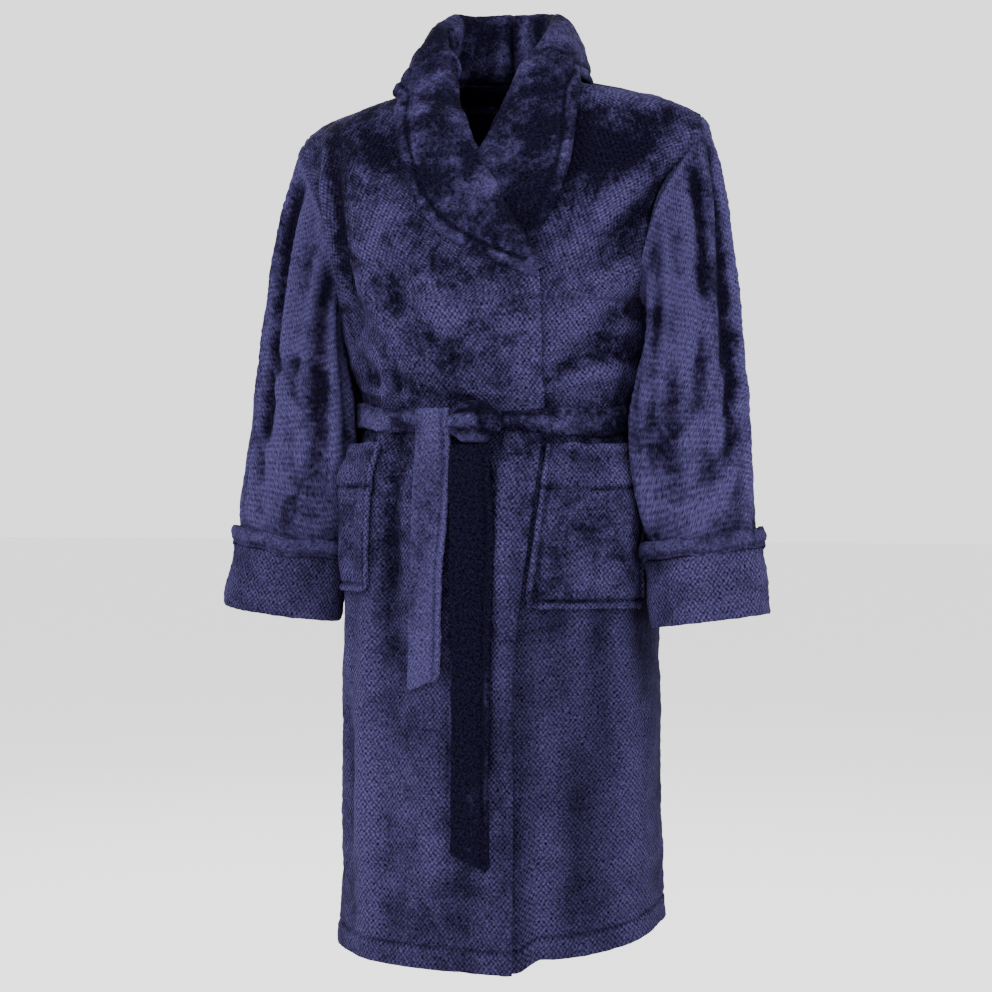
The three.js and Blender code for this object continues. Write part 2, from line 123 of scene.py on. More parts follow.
# ---- Fleece ----
# Plush fleece with a rice-grain texture: staggered tufts about 5 mm apart, with pile that lies one way
# or the other, so that it shows light and dark patches. The reverse is smooth and darker.
GRAIN_PITCH = 5.4
GRAIN_ROW = 3.5
# The first colour is the lit pile with a painted glint, the second the darkest pile, flattened and in
# painted shade.
RAISED_GLINT = (0.064, 0.053, 0.150, 1)
CRUSHED_SHADE = (0.0008, 0.0004, 0.0032, 1)
REVERSE_COLOUR = (0.0022, 0.0015, 0.0065, 1)
WANDER = 6.0
# how much of the colour is the plain cloth, and how much of it the tufts take and give back: painted shade
# between the tufts and painted light on their tops
PLAIN_SHARE = 0.58
PLAIN_LOSS = 0.28
TUFT_SHARE = 0.42
HAIR_CONTRAST = 2.6
TUFT_CONTRAST = 0.9
# the noises that make the patches: scale, detail, distortion and weight
PATCH_NOISES = [(12.0, 4.0, 1.2, 0.44), (46.0, 4.0, 0.9, 0.30), (150.0, 3.0, 0.6, 0.26)]
PATCH_CONTRAST = 4.9
PATCH_LOW = -0.12
PATCH_HIGH = 1.18
RELIEF_DEPTH = 0.0012


class Nodes:
    """Adds shader nodes to one tree and joins them up."""

    def __init__(self, tree):
        self.tree = tree

    def add(self, kind, inputs=None, **settings):
        """A node of one kind, with its settings, and with its inputs linked or set."""
        node = self.tree.nodes.new(kind)
        for key, value in settings.items():
            setattr(node, key, value)
        for key, value in (inputs or {}).items():
            if isinstance(value, bpy.types.NodeSocket):
                self.tree.links.new(value, node.inputs[key])
            else:
                node.inputs[key].default_value = value
        return node

    def sum_of(self, operation, *values, clamp=False):
        """A Math node of one operation on one to three values."""
        node = self.add("ShaderNodeMath", dict(enumerate(values)), operation=operation, use_clamp=clamp)
        return node.outputs[0]

    def noise(self, vector, scale, detail=2.0, distortion=0.0):
        """Noise of about one over the scale in size, from 0 to 1."""
        inputs = {"Vector": vector, "Scale": scale, "Detail": detail, "Distortion": distortion}
        return self.add("ShaderNodeTexNoise", inputs).outputs["Fac"]

    def step(self, value, low, high):
        """0 below low, 1 above high, and smooth between them."""
        inputs = {"Value": value, "From Min": low, "From Max": high}
        node = self.add("ShaderNodeMapRange", inputs, interpolation_type="SMOOTHSTEP")
        return node.outputs["Result"]


def pile_group():
    """Pile: tuft height is a smooth step of the product of two cosines, across and along the cloth, which
    gives staggered tufts, painted lighter on top and darker between as light and shade. Patches are noise
    plus the way the pile lies and its painted light and shade, cut to a soft edge."""
    tree = bpy.data.node_groups.new("pile", "ShaderNodeTree")
    sockets = [("Cloth", "NodeSocketVector"), ("Place", "NodeSocketVector"), ("Lie and shade", "NodeSocketFloat"),
               ("Unrest", "NodeSocketFloat"),
               ("Raised glint", "NodeSocketColor"), ("Crushed shade", "NodeSocketColor"), ("Grain", "NodeSocketFloat")]
    for name, kind in sockets:
        tree.interface.new_socket(name=name, in_out="INPUT", socket_type=kind)
    for name, kind in [("Color", "NodeSocketColor"), ("Height", "NodeSocketFloat")]:
        tree.interface.new_socket(name=name, in_out="OUTPUT", socket_type=kind)
    n = Nodes(tree)
    given = tree.nodes.new("NodeGroupInput").outputs
    wander = n.noise(given["Cloth"], 0.07, 3.0)
    split = n.add("ShaderNodeSeparateXYZ", {0: given["Cloth"]})
    columns = n.sum_of("MULTIPLY", split.outputs[0], 2 * np.pi / GRAIN_PITCH)
    rows = n.sum_of("MULTIPLY", split.outputs[1], np.pi / GRAIN_ROW)
    across = n.sum_of("MULTIPLY_ADD", wander, WANDER, columns)
    along = n.sum_of("MULTIPLY_ADD", wander, -WANDER, rows)
    product = n.sum_of("MULTIPLY", n.sum_of("COSINE", across), n.sum_of("COSINE", along))
    tuft = n.step(product, -0.55, 0.6)
    each = n.noise(given["Cloth"], 0.21, 1.0)
    fibre = n.noise(given["Cloth"], 0.36, 4.0)
    mixed = 0.0
    for scale, detail, distortion, weight in PATCH_NOISES:
        noise = n.noise(given["Place"], scale, detail, distortion)
        mixed = n.sum_of("MULTIPLY_ADD", noise, weight, mixed)
    reach = n.sum_of("MULTIPLY", given["Unrest"], PATCH_CONTRAST)
    swing = n.sum_of("MULTIPLY", n.sum_of("SUBTRACT", mixed, 0.5), reach)
    patch = n.step(n.sum_of("ADD", given["Lie and shade"], swing), PATCH_LOW, PATCH_HIGH)
    shown = n.sum_of("MULTIPLY", tuft, given["Grain"])
    plain = n.sum_of("MULTIPLY_ADD", given["Grain"], -PLAIN_LOSS, PLAIN_SHARE)
    # painted light on the tufts' tops and painted shade between them
    weave_light_and_shade = n.sum_of("MULTIPLY_ADD", shown, TUFT_SHARE, plain)
    lit = n.sum_of("MULTIPLY", weave_light_and_shade, n.sum_of("MULTIPLY_ADD", patch, 0.94, 0.08))
    # fibre speckle, partly the fibres' own texture and partly painted glints, strongest in the light
    # patches
    hairs_and_glints = n.sum_of("MULTIPLY", n.sum_of("SUBTRACT", fibre, 0.5), HAIR_CONTRAST)
    hairs_and_glints = n.sum_of("MULTIPLY_ADD", n.sum_of("SUBTRACT", each, 0.5), TUFT_CONTRAST, hairs_and_glints)
    lit = n.sum_of("MULTIPLY_ADD", n.sum_of("MULTIPLY_ADD", patch, 0.5, 0.10), hairs_and_glints, lit)
    lit = n.sum_of("MAXIMUM", lit, 0.0, clamp=True)
    colour = n.add("ShaderNodeMix", {0: lit, 6: given["Crushed shade"], 7: given["Raised glint"]}, data_type="RGBA")
    height = n.sum_of("MULTIPLY_ADD", fibre, 0.7, shown)
    out = tree.nodes.new("NodeGroupOutput")
    tree.links.new(colour.outputs[2], out.inputs["Color"])
    tree.links.new(height, out.inputs["Height"])
    return tree


PILE = pile_group()


def fleece(name, raised_glint, crushed_shade, grain, bump):
    """A fleece material: the pile group's colour and height on a shader with a velvety sheen."""
    material = bpy.data.materials.new(name)
    material.use_nodes = True
    n = Nodes(material.node_tree)
    shader = material.node_tree.nodes["Principled BSDF"]
    cloth = n.add("ShaderNodeUVMap", uv_map="cloth")
    place = n.add("ShaderNodeTexCoord")
    pile_lie_and_shade = n.add("ShaderNodeAttribute", attribute_name="pile_lie_and_shade")
    pile = n.add("ShaderNodeGroup", node_tree=PILE)
    unrest = n.add("ShaderNodeAttribute", attribute_name="unrest")
    wired = {"Cloth": cloth.outputs[0], "Place": place.outputs["Object"], "Lie and shade": pile_lie_and_shade.outputs["Fac"],
             "Unrest": unrest.outputs["Fac"]}
    for key, socket in wired.items():
        material.node_tree.links.new(socket, pile.inputs[key])
    pile.inputs["Raised glint"].default_value = raised_glint
    pile.inputs["Crushed shade"].default_value = crushed_shade
    pile.inputs["Grain"].default_value = grain
    bumps = {"Height": pile.outputs["Height"], "Strength": bump, "Distance": RELIEF_DEPTH}
    relief = n.add("ShaderNodeBump", bumps)
    material.node_tree.links.new(pile.outputs["Color"], shader.inputs["Base Color"])
    material.node_tree.links.new(relief.outputs[0], shader.inputs["Normal"])
    shader.inputs["Roughness"].default_value = 0.95
    shader.inputs["Specular IOR Level"].default_value = 0.02
    shader.inputs["Sheen Weight"].default_value = 0.006
    shader.inputs["Sheen Roughness"].default_value = 0.42
    shader.inputs["Sheen Tint"].default_value = (0.45, 0.42, 0.95, 1)
    return material


PLUSH = fleece("plush", RAISED_GLINT, CRUSHED_SHADE, 1.0, 0.9)
SHAGGY = fleece("plush_shaggy", RAISED_GLINT, CRUSHED_SHADE, 0.25, 0.9)
BRUSHED = fleece("plush_brushed", RAISED_GLINT, CRUSHED_SHADE, 0.6, 0.9)
SASH = fleece("sash", RAISED_GLINT, CRUSHED_SHADE, 0.55, 0.9)
REVERSE = fleece("reverse", REVERSE_COLOUR, REVERSE_COLOUR, 0.25, 0.3)


# ---- Body panels ----
# The back and the two fronts, cut from fleece and sewn at the shoulders and sides. The right front
# laps over the left and the belt draws them in, so the cloth bags over the belt and folds below it.
MM = 0.001
CLOTH_PITCH = 4.0
FABRIC = 4.0
HEM_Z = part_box("back_panel")[0].z / MM
SHOULDER_HALF = 247
SHOULDER_Z = -48
UNDERARM_Z = -270
WAIST_Z = -402
V_Z = -246
CROSSING = 81
EDGE_AT_HEM = 52
UNDERLAP = 108
LAP_SKIRT = 9.5
LAP_COLLAR = 23
ROLL_MIDDLE = (-104, -6)
ROLL_TOP = 48
ROLL_ROOM = 3
HEM_DEPTH = 26
FACING_WIDTH = 76
SEAM_BACK = np.radians(9)
ARMHOLE_CUT = 0.1
POWER = 2.4
RIM_MAP = 5.0
# height, half width, half depth, and how far the middle sits back
BODY_SECTIONS = np.array([
    (HEM_Z, 202, 132, 0), (-632, 195, 129, 0), (-497, 190, 125, 0), (WAIST_Z, 166, 108, 0),
    (-332, 181, 118, 0), (UNDERARM_Z, 188, 123, 1), (-159, 225, 116, 4), (-78, 257, 96, 8),
    (SHOULDER_Z, SHOULDER_HALF, 85, 8), (-24, 189.5, 78, 5), (-9.6, 127, 70, 1), (0, 80, 62, -2)], float)


def smooth(low, high, value):
    """0 below low, 1 above high, and an S-curve between them."""
    t = np.clip((value - low) / (high - low), 0, 1)
    return t * t * (3 - 2 * t)


def cubic(t, start, leave, end, arrive):
    """A cubic path from start to end, with its slope at both, at shares 0 to 1 of the way."""
    t2, t3 = t**2, t**3
    return ((2 * t3 - 3 * t2 + 1) * start + (t3 - 2 * t2 + t) * leave
            + (3 * t2 - 2 * t3) * end + (t3 - t2) * arrive)


def through(stations, at):
    """A smooth curve through stations sorted by their first number: cubic pieces whose slope at each
    station is the slope between its two neighbours."""
    x = np.asarray(stations, float)[:, 0]
    y = np.asarray(stations, float)[:, 1:]
    before = np.maximum(np.arange(len(x)) - 1, 0)
    after = np.minimum(np.arange(len(x)) + 1, len(x) - 1)
    slope = (y[after] - y[before]) / (x[after] - x[before])[:, None]
    at = np.asarray(at, float)
    i = np.clip(np.searchsorted(x, at, side="right") - 1, 0, len(x) - 2)
    step = (x[i + 1] - x[i])[..., None]
    t = np.clip((at - x[i])[..., None] / step, 0, 1)
    return cubic(t, y[i], step * slope[i], y[i + 1], step * slope[i + 1])


def skin(angle, z):
    """The body's inside surface: a filled-out ellipse at each height. Angle 0 is the centre front."""
    angle, z = np.broadcast_arrays(np.asarray(angle, float), np.asarray(z, float))
    a, b, back = np.moveaxis(through(BODY_SECTIONS, z), -1, 0)
    s, c = np.sin(angle), np.cos(angle)
    x = np.sign(s) * a * np.abs(s) ** (2 / POWER)
    y = back - np.sign(c) * b * np.abs(c) ** (2 / POWER)
    return np.stack([x, y, z], -1)


def unit(vectors):
    """Vectors scaled to length 1."""
    return vectors / np.maximum(np.linalg.norm(vectors, axis=-1, keepdims=True), 1e-9)


def on_body(angle, z, out):
    """The body's surface moved out along its normal, which comes from two small steps over it."""
    turn = 0.03
    lift = np.minimum(z, -0.6)
    along = skin(np.asarray(angle) + turn, z) - skin(np.asarray(angle) - turn, z)
    up = skin(angle, lift + 0.6) - skin(angle, lift - 0.6)
    return skin(angle, z) + unit(np.cross(along, up)) * np.asarray(out)[..., None]


def angle_at(x, z):
    """The angle at which the body's surface has a given x."""
    a = through(BODY_SECTIONS, z)[..., 0]
    return np.sign(x) * np.arcsin(np.minimum(1, np.abs(x) / a) ** (POWER / 2))


def mottle(points, size, seed, waves=9):
    """Smooth uneven swell of about one size: the sum of sine waves in random directions, over the root
    of their number."""
    draw = np.random.default_rng(seed)
    total = np.zeros(points.shape[:-1])
    for _ in range(waves):
        direction = unit(draw.normal(size=3))
        length = size * draw.uniform(0.7, 1.6)
        total += np.sin(points @ direction * 2 * np.pi / length + draw.uniform(0, 2 * np.pi))
    return total / np.sqrt(waves)


def crease(x, z, fold):
    """One fold of the cloth: a ridge with a shallow hollow on each side of it, along a line from start
    to end that bows to one side, and that fades out past both ends. A negative depth is a hollow."""
    (ax, az), (bx, bz), width, depth, bow = fold
    length = np.hypot(bx - ax, bz - az)
    along = ((x - ax) * (bx - ax) + (z - az) * (bz - az)) / length**2
    across = ((x - ax) * (bz - az) - (z - az) * (bx - ax)) / length - bow * 4 * along * (1 - along)
    t2 = (across / (width * (0.75 + 0.5 * np.clip(along, 0, 1)))) ** 2
    fade = smooth(-0.12, 0.22, along) * (1 - smooth(0.7, 1.12, along))
    return depth * fade * (1 - 0.7 * t2) * np.exp(-t2 / 1.6)


# start, end, width, depth, bow, over the front seen flat
FRONT_FOLDS = [
    ((272, -58), (128, -196), 17, 9, 6), ((262, -84), (140, -240), 15, -8, 8),
    ((258, -96), (205, -330), 11, 6, -10), ((206, -214), (96, -330), 17, 5, 6),
    ((196, -262), (84, -372), 14, -5, 6), ((150, -120), (60, -190), 20, 4, 0),
    ((-196, -74), (-166, -350), 12, 8, 12), ((-172, -88), (-138, -330), 12, -6, 10),
    ((-142, -70), (-96, -300), 20, 4, 8), ((-96, -170), (26, -362), 20, 5, 10),
    ((-132, -232), (-28, -384), 15, 5, 8), ((-60, -300), (62, -372), 13, -4, 6),
    ((-158, -362), (-56, -384), 9, 5, 4), ((72, -382), (172, -352), 9, 7, -5),
    ((88, -356), (176, -330), 8, -6, -4), ((100, -330), (178, -296), 9, 4, -4),
    ((-30, -372), (60, -380), 9, 4, 3), ((-168, -322), (-110, -356), 9, -4, 2),
    ((-150, -428), (-168, -800), 15, 6, 6), ((-122, -428), (-140, -1060), 20, 5, 4),
    ((-92, -430), (-96, -700), 13, -5, 2), ((-66, -470), (-52, -1060), 24, 4, -4),
    ((112, -432), (132, -900), 19, 5, -5), ((158, -430), (180, -1060), 17, 6, -4),
    ((92, -640), (86, -1070), 24, 4, 3), ((140, -640), (118, -1070), 18, -4, 3),
    ((38, -430), (38, -800), 12, 5, 2), ((16, -830), (34, -1075), 20, 4, 2),
    ((-168, -690), (-148, -1075), 15, -4, 3)]
BACK_FOLDS = [
    ((-236, -76), (-110, -250), 18, 7, -8), ((236, -76), (118, -262), 18, 7, 8),
    ((-216, -130), (-150, -360), 15, -6, -8), ((214, -128), (148, -356), 15, -6, 8),
    ((-70, -60), (-50, -360), 26, 4, 3), ((64, -70), (40, -360), 24, 4, -3),
    ((-150, -340), (-20, -380), 11, 6, 4), ((30, -376), (150, -344), 11, 6, 4),
    ((-60, -352), (70, -366), 10, -4, 3), ((-140, -430), (-158, -1060), 19, 7, 6),
    ((-92, -430), (-104, -860), 16, -5, 3), ((-46, -428), (-54, -1060), 22, 6, -4),
    ((8, -430), (4, -820), 15, -5, 2), ((52, -430), (66, -1060), 21, 6, 4),
    ((104, -430), (116, -900), 16, -5, -3), ((146, -430), (164, -1060), 19, 6, -5)]


def drape(angle, z, drawn_in=5):
    """How far the cloth stands off its plain shape: folds, gathers at the belt and a slight swell."""
    at = skin(angle, z)
    front = smooth(-0.25, 0.25, np.cos(angle) + 0 * z)
    folds = sum(crease(at[..., 0], at[..., 2], fold) for fold in FRONT_FOLDS) * front
    folds = folds + sum(crease(at[..., 0], at[..., 2], fold) for fold in BACK_FOLDS) * (1 - front)
    drop = at[..., 2] - WAIST_Z
    swell = 1.5 * mottle(at, 120, 3) + 0.8 * mottle(at, 46, 5)
    flat = at * np.array([1, 1, 0.12])
    gathers = 2.2 * mottle(flat, 26, 7) * np.exp(-(drop / 70) ** 2)
    tight = 1 - 0.93 * np.exp(-(drop / 25) ** 4)
    quiet = 1 - smooth(-26, -4, at[..., 2])
    inward = drawn_in * smooth(20, 150, -drop)
    return (1.2 * folds + swell + gathers) * tight * quiet - inward


def side_seam(z):
    """The angle of the side seams, which lie behind the sides below the chest."""
    return np.pi / 2 + SEAM_BACK * (1 - smooth(WAIST_Z - 60, UNDERARM_Z - 10, z))


def armhole_angle(z):
    """The angle of the armhole's edge between the underarm and the shoulder point."""
    t = np.clip((z - UNDERARM_Z) / (SHOULDER_Z - UNDERARM_Z), 0, 1)
    share = 1 - ARMHOLE_CUT * np.sin(np.pi * t) ** 0.6
    return np.arcsin(share ** (POWER / 2))


def in_armhole(z):
    """True between the underarm and the shoulder point."""
    return (z > UNDERARM_Z) & (z < SHOULDER_Z)


def roll_edge(z):
    """The line on which the lapel folds over, past the centre front."""
    return through([(V_Z, CROSSING), ROLL_MIDDLE, (0, -ROLL_TOP)], z)[..., 0]


def right_edge(z):
    """The right front's edge past the centre front, at each height."""
    skirt = CROSSING + (EDGE_AT_HEM - CROSSING) * (1 - smooth(WAIST_Z - 330, WAIST_Z, z))
    return np.where(z > V_Z, roll_edge(z) - ROLL_ROOM * smooth(V_Z, V_Z + 60, z), skirt)


def left_edge(z):
    """The left front's edge, which lies hidden under the right front."""
    skirt = -(CROSSING + (UNDERLAP - CROSSING) * (1 - smooth(WAIST_Z - 60, V_Z, z)))
    return np.where(z > V_Z, -right_edge(z), skirt)


def lap_at(angle, z):
    """How far the right front stands off the body where it lies over the left one."""
    skirt = LAP_SKIRT + (LAP_COLLAR - LAP_SKIRT) * smooth(V_Z - 65, V_Z, z)
    return skirt * (1 - smooth(-62, -8, z)) * smooth(np.radians(-60), np.radians(-32), angle)


def lap_on(side, angle, z):
    """The lap of one side: only the wearer's right front has one."""
    return lap_at(angle, z) if side < 0 else 0


def front_edge(side, z):
    """The edge of one front past the centre front, at each height."""
    return right_edge(z) if side < 0 else left_edge(z)


def spaced(length, pitch, lines=()):
    """Places from 0 to a length, closer together at both ends and round each line."""
    even = np.linspace(0, length, max(2, int(round(length / pitch)) + 1))
    close = [line + k for line in lines for k in (-2.6, -1.3, 0, 1.3, 2.6)]
    ends = [0.7, 1.8, length - 1.8, length - 0.7]
    places = np.unique(np.clip(np.concatenate([even, close, ends]), 0, length))
    keep = np.concatenate([[True], np.diff(places) > 0.45])
    keep[-1] = True
    return places[keep]


def groove(distance, at, width=1.7, depth=1.6):
    """A stitched line in the pile: a narrow hollow at a distance from the edge."""
    return -depth * np.exp(-((distance - at) / width) ** 2)


def grid_normals(points, closed):
    """Unit normals of a grid of points, from the steps to its neighbours."""
    if closed:
        across = np.roll(points, -1, 0) - np.roll(points, 1, 0)
    else:
        across = np.gradient(points, axis=0)
    return unit(np.cross(across, np.gradient(points, axis=1)))


def cloth(name, face, thickness, material, body, side=1, closed=False, lie_and_shade=0.5, unrest=0.9, soft=None,
          reverse=None, square_end=False, plan=None):
    """One piece of cloth from a grid of points on its pile side: the reverse lies a thickness below it,
    and the edges are rounded off. Its map is millimetres across and along the cloth."""
    plain = face if plan is None else plan
    wrapped = np.concatenate([plain, plain[:1]]) if closed else plain
    across = np.linalg.norm(np.diff(wrapped, axis=0), axis=-1)
    across = np.cumsum(np.concatenate([np.zeros((1, face.shape[1])), across]), 0)
    across = across - across[len(across) // (5 if closed else 2)]
    along = np.linalg.norm(np.diff(wrapped, axis=1), axis=-1)
    along = np.cumsum(np.concatenate([np.zeros((len(wrapped), 1)), along], 1), 1)
    flat = np.stack([across, along], -1)
    n, m = face.shape[:2]
    ends = np.minimum(along, along[:, -1:] - along)[:n]
    if not closed:
        far = across[-1:] - across + (thickness if square_end else 0)
        ends = np.minimum(ends, np.minimum(across - across[:1], far))
    half = thickness / 2
    rounding = half * (1 - np.sqrt(1 - (1 - np.clip(ends / np.maximum(half, 0.1), 0, 1)) ** 2 * 0.98))
    normal = grid_normals(face, closed) * side
    top = face - normal * rounding[..., None]
    under = face - normal * (thickness - rounding)[..., None]
    points = np.concatenate([top.reshape(-1, 3), under.reshape(-1, 3)]) * MM

    ids = np.arange(n * m).reshape(n, m)
    if closed:
        ids = np.concatenate([ids, ids[:1]])
    rows = len(ids)

    def quads(grid):
        """The four corners of every face between the rows and columns of a grid."""
        return np.stack([grid[:-1, :-1], grid[1:, :-1], grid[1:, 1:], grid[:-1, 1:]], 2).reshape(-1, 4)

    spot = np.arange(rows * m).reshape(rows, m)
    low, high = spot[:, 0], spot[:, -1]
    rims = [(low[1:], low[:-1], (0, -1)), (high[:-1], high[1:], (0, 1))]
    if not closed:
        rims += [(spot[0, :-1], spot[0, 1:], (-1, 0)), (spot[-1, 1:], spot[-1, :-1], (1, 0))]
    vertex = [ids.ravel()[quads(spot)], ids.ravel()[quads(spot)][:, ::-1] + n * m]
    maps = [flat.reshape(-1, 2)[quads(spot)], flat.reshape(-1, 2)[quads(spot)][:, ::-1]]
    slots = [np.zeros(len(vertex[0])), np.ones(len(vertex[1]))]
    for a, b, outward in rims:
        ia, ib = ids.ravel()[a], ids.ravel()[b]
        vertex.append(np.stack([ia, ib, ib + n * m, ia + n * m], 1))
        fa, fb = flat.reshape(-1, 2)[a], flat.reshape(-1, 2)[b]
        beyond = np.array(outward) * RIM_MAP
        maps.append(np.stack([fa, fb, fb + beyond, fa + beyond], 1))
        slots.append(np.zeros(len(a)))
    corners = np.concatenate(vertex)
    map_points = np.concatenate(maps)
    corner = points[corners]
    volume = np.einsum("ij,ij->", corner[:, 0], np.cross(corner[:, 1], corner[:, 2]))
    volume += np.einsum("ij,ij->", corner[:, 0], np.cross(corner[:, 2], corner[:, 3]))
    if volume < 0:
        corners = corners[:, ::-1]
        map_points = map_points[:, ::-1]

    mesh = bpy.data.meshes.new(f"{name}_cloth")
    mesh.vertices.add(len(points))
    mesh.vertices.foreach_set("co", points.ravel())
    mesh.loops.add(corners.size)
    mesh.loops.foreach_set("vertex_index", corners.ravel().astype(np.int32))
    mesh.polygons.add(len(corners))
    mesh.polygons.foreach_set("loop_start", np.arange(0, corners.size, 4, dtype=np.int32))
    mesh.polygons.foreach_set("material_index", np.concatenate(slots).astype(np.int32))
    mesh.polygons.foreach_set("use_smooth", np.ones(len(corners), bool))
    mesh.uv_layers.new(name="cloth").data.foreach_set("uv", map_points.reshape(-1))
    # the way the pile lies together with painted light and shade, at each point
    for word, value in (("pile_lie_and_shade", lie_and_shade), ("unrest", unrest)):
        shade = np.broadcast_to(np.asarray(value, float), (n, m)).ravel()
        attribute = mesh.attributes.new(word, "FLOAT", "POINT")
        attribute.data.foreach_set("value", np.concatenate([shade, shade]).astype(np.float32))
    mesh.materials.append(material)
    mesh.materials.append(reverse or material)
    mesh.update(calc_edges=True)
    mesh.validate()
    piece = bpy.data.objects.new(mesh.name, mesh)
    bpy.context.scene.collection.objects.link(piece)
    if isinstance(body, str):
        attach(piece, body)
    return piece


def fold_light_share(height, reach=9.0):
    """Painted light and shade from the cloth's height: ridges are painted lighter and hollows darker."""
    return 0.5 + np.clip(height / (2 * reach), -0.5, 0.5)


def toned(x, z, marks):
    """Light and dark areas, where the pile lies differently and where light and shade are painted: soft
    spots at a place, each with its two radii and its strength.
    """
    return sum(k * np.exp(-((x - cx) / rx) ** 2 - ((z - cz) / rz) ** 2) for cx, cz, rx, rz, k in marks)


# across, height, the two radii and the strength, over the front: partly pile that lies differently and
# partly painted light and shade
BODY_TONES_AND_SHADES = [
    (150, -28, 90, 15, 0.55), (150, -105, 80, 45, -0.85), (60, -120, 40, 60, -0.3),
    (70, -150, 40, 60, -0.25), (120, -250, 60, 60, 0.30), (100, -330, 70, 50, 0.25),
    (-170, -150, 36, 90, -0.35), (-120, -150, 30, 60, 0.10), (-60, -300, 80, 60, 0.12),
    (-40, -378, 90, 18, -0.2), (-110, -100, 60, 40, -0.15), (-150, -600, 60, 120, -0.12),
    (-130, -860, 80, 170, 0.32), (-60, -760, 22, 200, -0.25), (8, -520, 20, 120, -0.5),
    (6, -750, 26, 150, -0.35), (40, -620, 16, 170, 0.12), (60, -440, 30, 20, -0.15),
    (185, -560, 22, 200, -0.3), (120, -860, 90, 170, -0.12), (100, -680, 80, 60, -0.14),
    (-175, -90, 40, 40, -0.2)]


def finished(node):
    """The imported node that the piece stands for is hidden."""
    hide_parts(node)


body_z = HEM_Z + spaced(-HEM_Z, CLOTH_PITCH, (HEM_DEPTH,))
FLUFF_SIZE = 9
FLUFF = 0.42
NAPE_RISE = 20
HEM_LIFT_FRONT = 18
HEM_LIFT_SIDE = 24
HEM_LIFT_TOP = -660
SEAM_OVERLAP = 0.0012
BACK_COLUMNS = 151
NEAR_EDGE = 96
REST_WIDTH = 250
REST_COLUMNS = 65


def fluff(points, seed):
    """The small unevenness of the pile."""
    return FLUFF * mottle(points, FLUFF_SIZE, seed)


def panel_face(angle, z, lap):
    """A panel's pile side: the draped body, with the hem stitched and a little uneven pile. With it come
    the way the pile lies, with fold ridges painted lighter and hollows and the hem's groove painted
    darker, and how patchy it is, which is less on the skirt."""
    hem = groove(z - HEM_Z, HEM_DEPTH, 2.0, 2.4) + 1.6 * (1 - smooth(HEM_DEPTH - 4, HEM_DEPTH, z - HEM_Z))
    at = skin(angle, z)
    rise = drape(angle, z)
    # painted light and shade: fold ridges lighter, hollows and the hem's groove darker
    lie_and_shade_share = fold_light_share(rise + 5 * smooth(20, 150, WAIST_Z - z) + hem, 11)
    # areas of differently lying pile and of painted light and shade over the front
    tone = toned(at[..., 0], at[..., 2], BODY_TONES_AND_SHADES) * smooth(-0.2, 0.2, np.cos(angle))
    skirt = smooth(60, 220, WAIST_Z - z)
    right_half = smooth(20, 70, at[..., 0]) * smooth(-0.2, 0.2, np.cos(angle))
    unrest = 0.95 - 0.45 * skirt - 0.25 * skirt * right_half
    return on_body(angle, z, rise + lap + FABRIC + hem + fluff(at, 11)), (lie_and_shade_share + tone, unrest)


def nape(face):
    """The back of the neck is cut higher than its front."""
    lift = NAPE_RISE * smooth(-62, -2, face[..., 2]) * smooth(10, 50, face[..., 1])
    return face + lift[..., None] * np.array([0, 0, 1])


def hung(face, angle, z):
    """The skirt hangs unevenly: its hem is higher on the wearer's left."""
    rise = HEM_LIFT_FRONT * smooth(0.2, 0.35, angle) + HEM_LIFT_SIDE * smooth(0.35, 1.6, angle)
    behind = (HEM_LIFT_FRONT + HEM_LIFT_SIDE) * (1 - smooth(1.8, 4.2, angle))
    rise = np.where(angle > np.pi / 2, behind, rise)
    return face + (rise * (1 - smooth(HEM_Z, HEM_LIFT_TOP, z)))[..., None] * np.array([0, 0, 1])


share = np.linspace(-1, 1, BACK_COLUMNS)[:, None]
reach = np.where(in_armhole(body_z), armhole_angle(body_z), np.pi - side_seam(body_z))[None, :]
back_angle = np.pi + share * (reach + SEAM_OVERLAP)
back_z = body_z[None, :] + 0 * share
back_face, back_lie_and_shade = panel_face(back_angle, back_z, 0)
back_face = nape(hung(back_face, back_angle, back_z))
back = cloth("back_panel", back_face, FABRIC, PLUSH, "robe", lie_and_shade=back_lie_and_shade[0], unrest=back_lie_and_shade[1],
             reverse=REVERSE, plan=skin(back_angle, back_z), soft=("hung", ["hanger_rest"]))
finished("back_panel")


def front_grid(side):
    """Angles over one front, from its edge to its side seam: the first stretch is in millimetres from
    the edge, so that stitched lines keep their distance, and the rest is shared out evenly."""
    near = spaced(NEAR_EDGE, CLOTH_PITCH, (FACING_WIDTH,))[:, None]
    rest = np.linspace(0, 1, REST_COLUMNS + 1)[1:, None]
    z = body_z[None, :]
    edge = front_edge(side, z)
    seam_z = np.where(in_armhole(z), armhole_angle(z), side_seam(z)) + SEAM_OVERLAP
    first = angle_at(edge + side * near, z)
    last = first[-1:] + (side * seam_z - first[-1:]) * rest
    distance = np.concatenate([near + 0 * z, NEAR_EDGE + rest * REST_WIDTH + 0 * z])
    return np.concatenate([first, last]), z + 0 * distance, distance


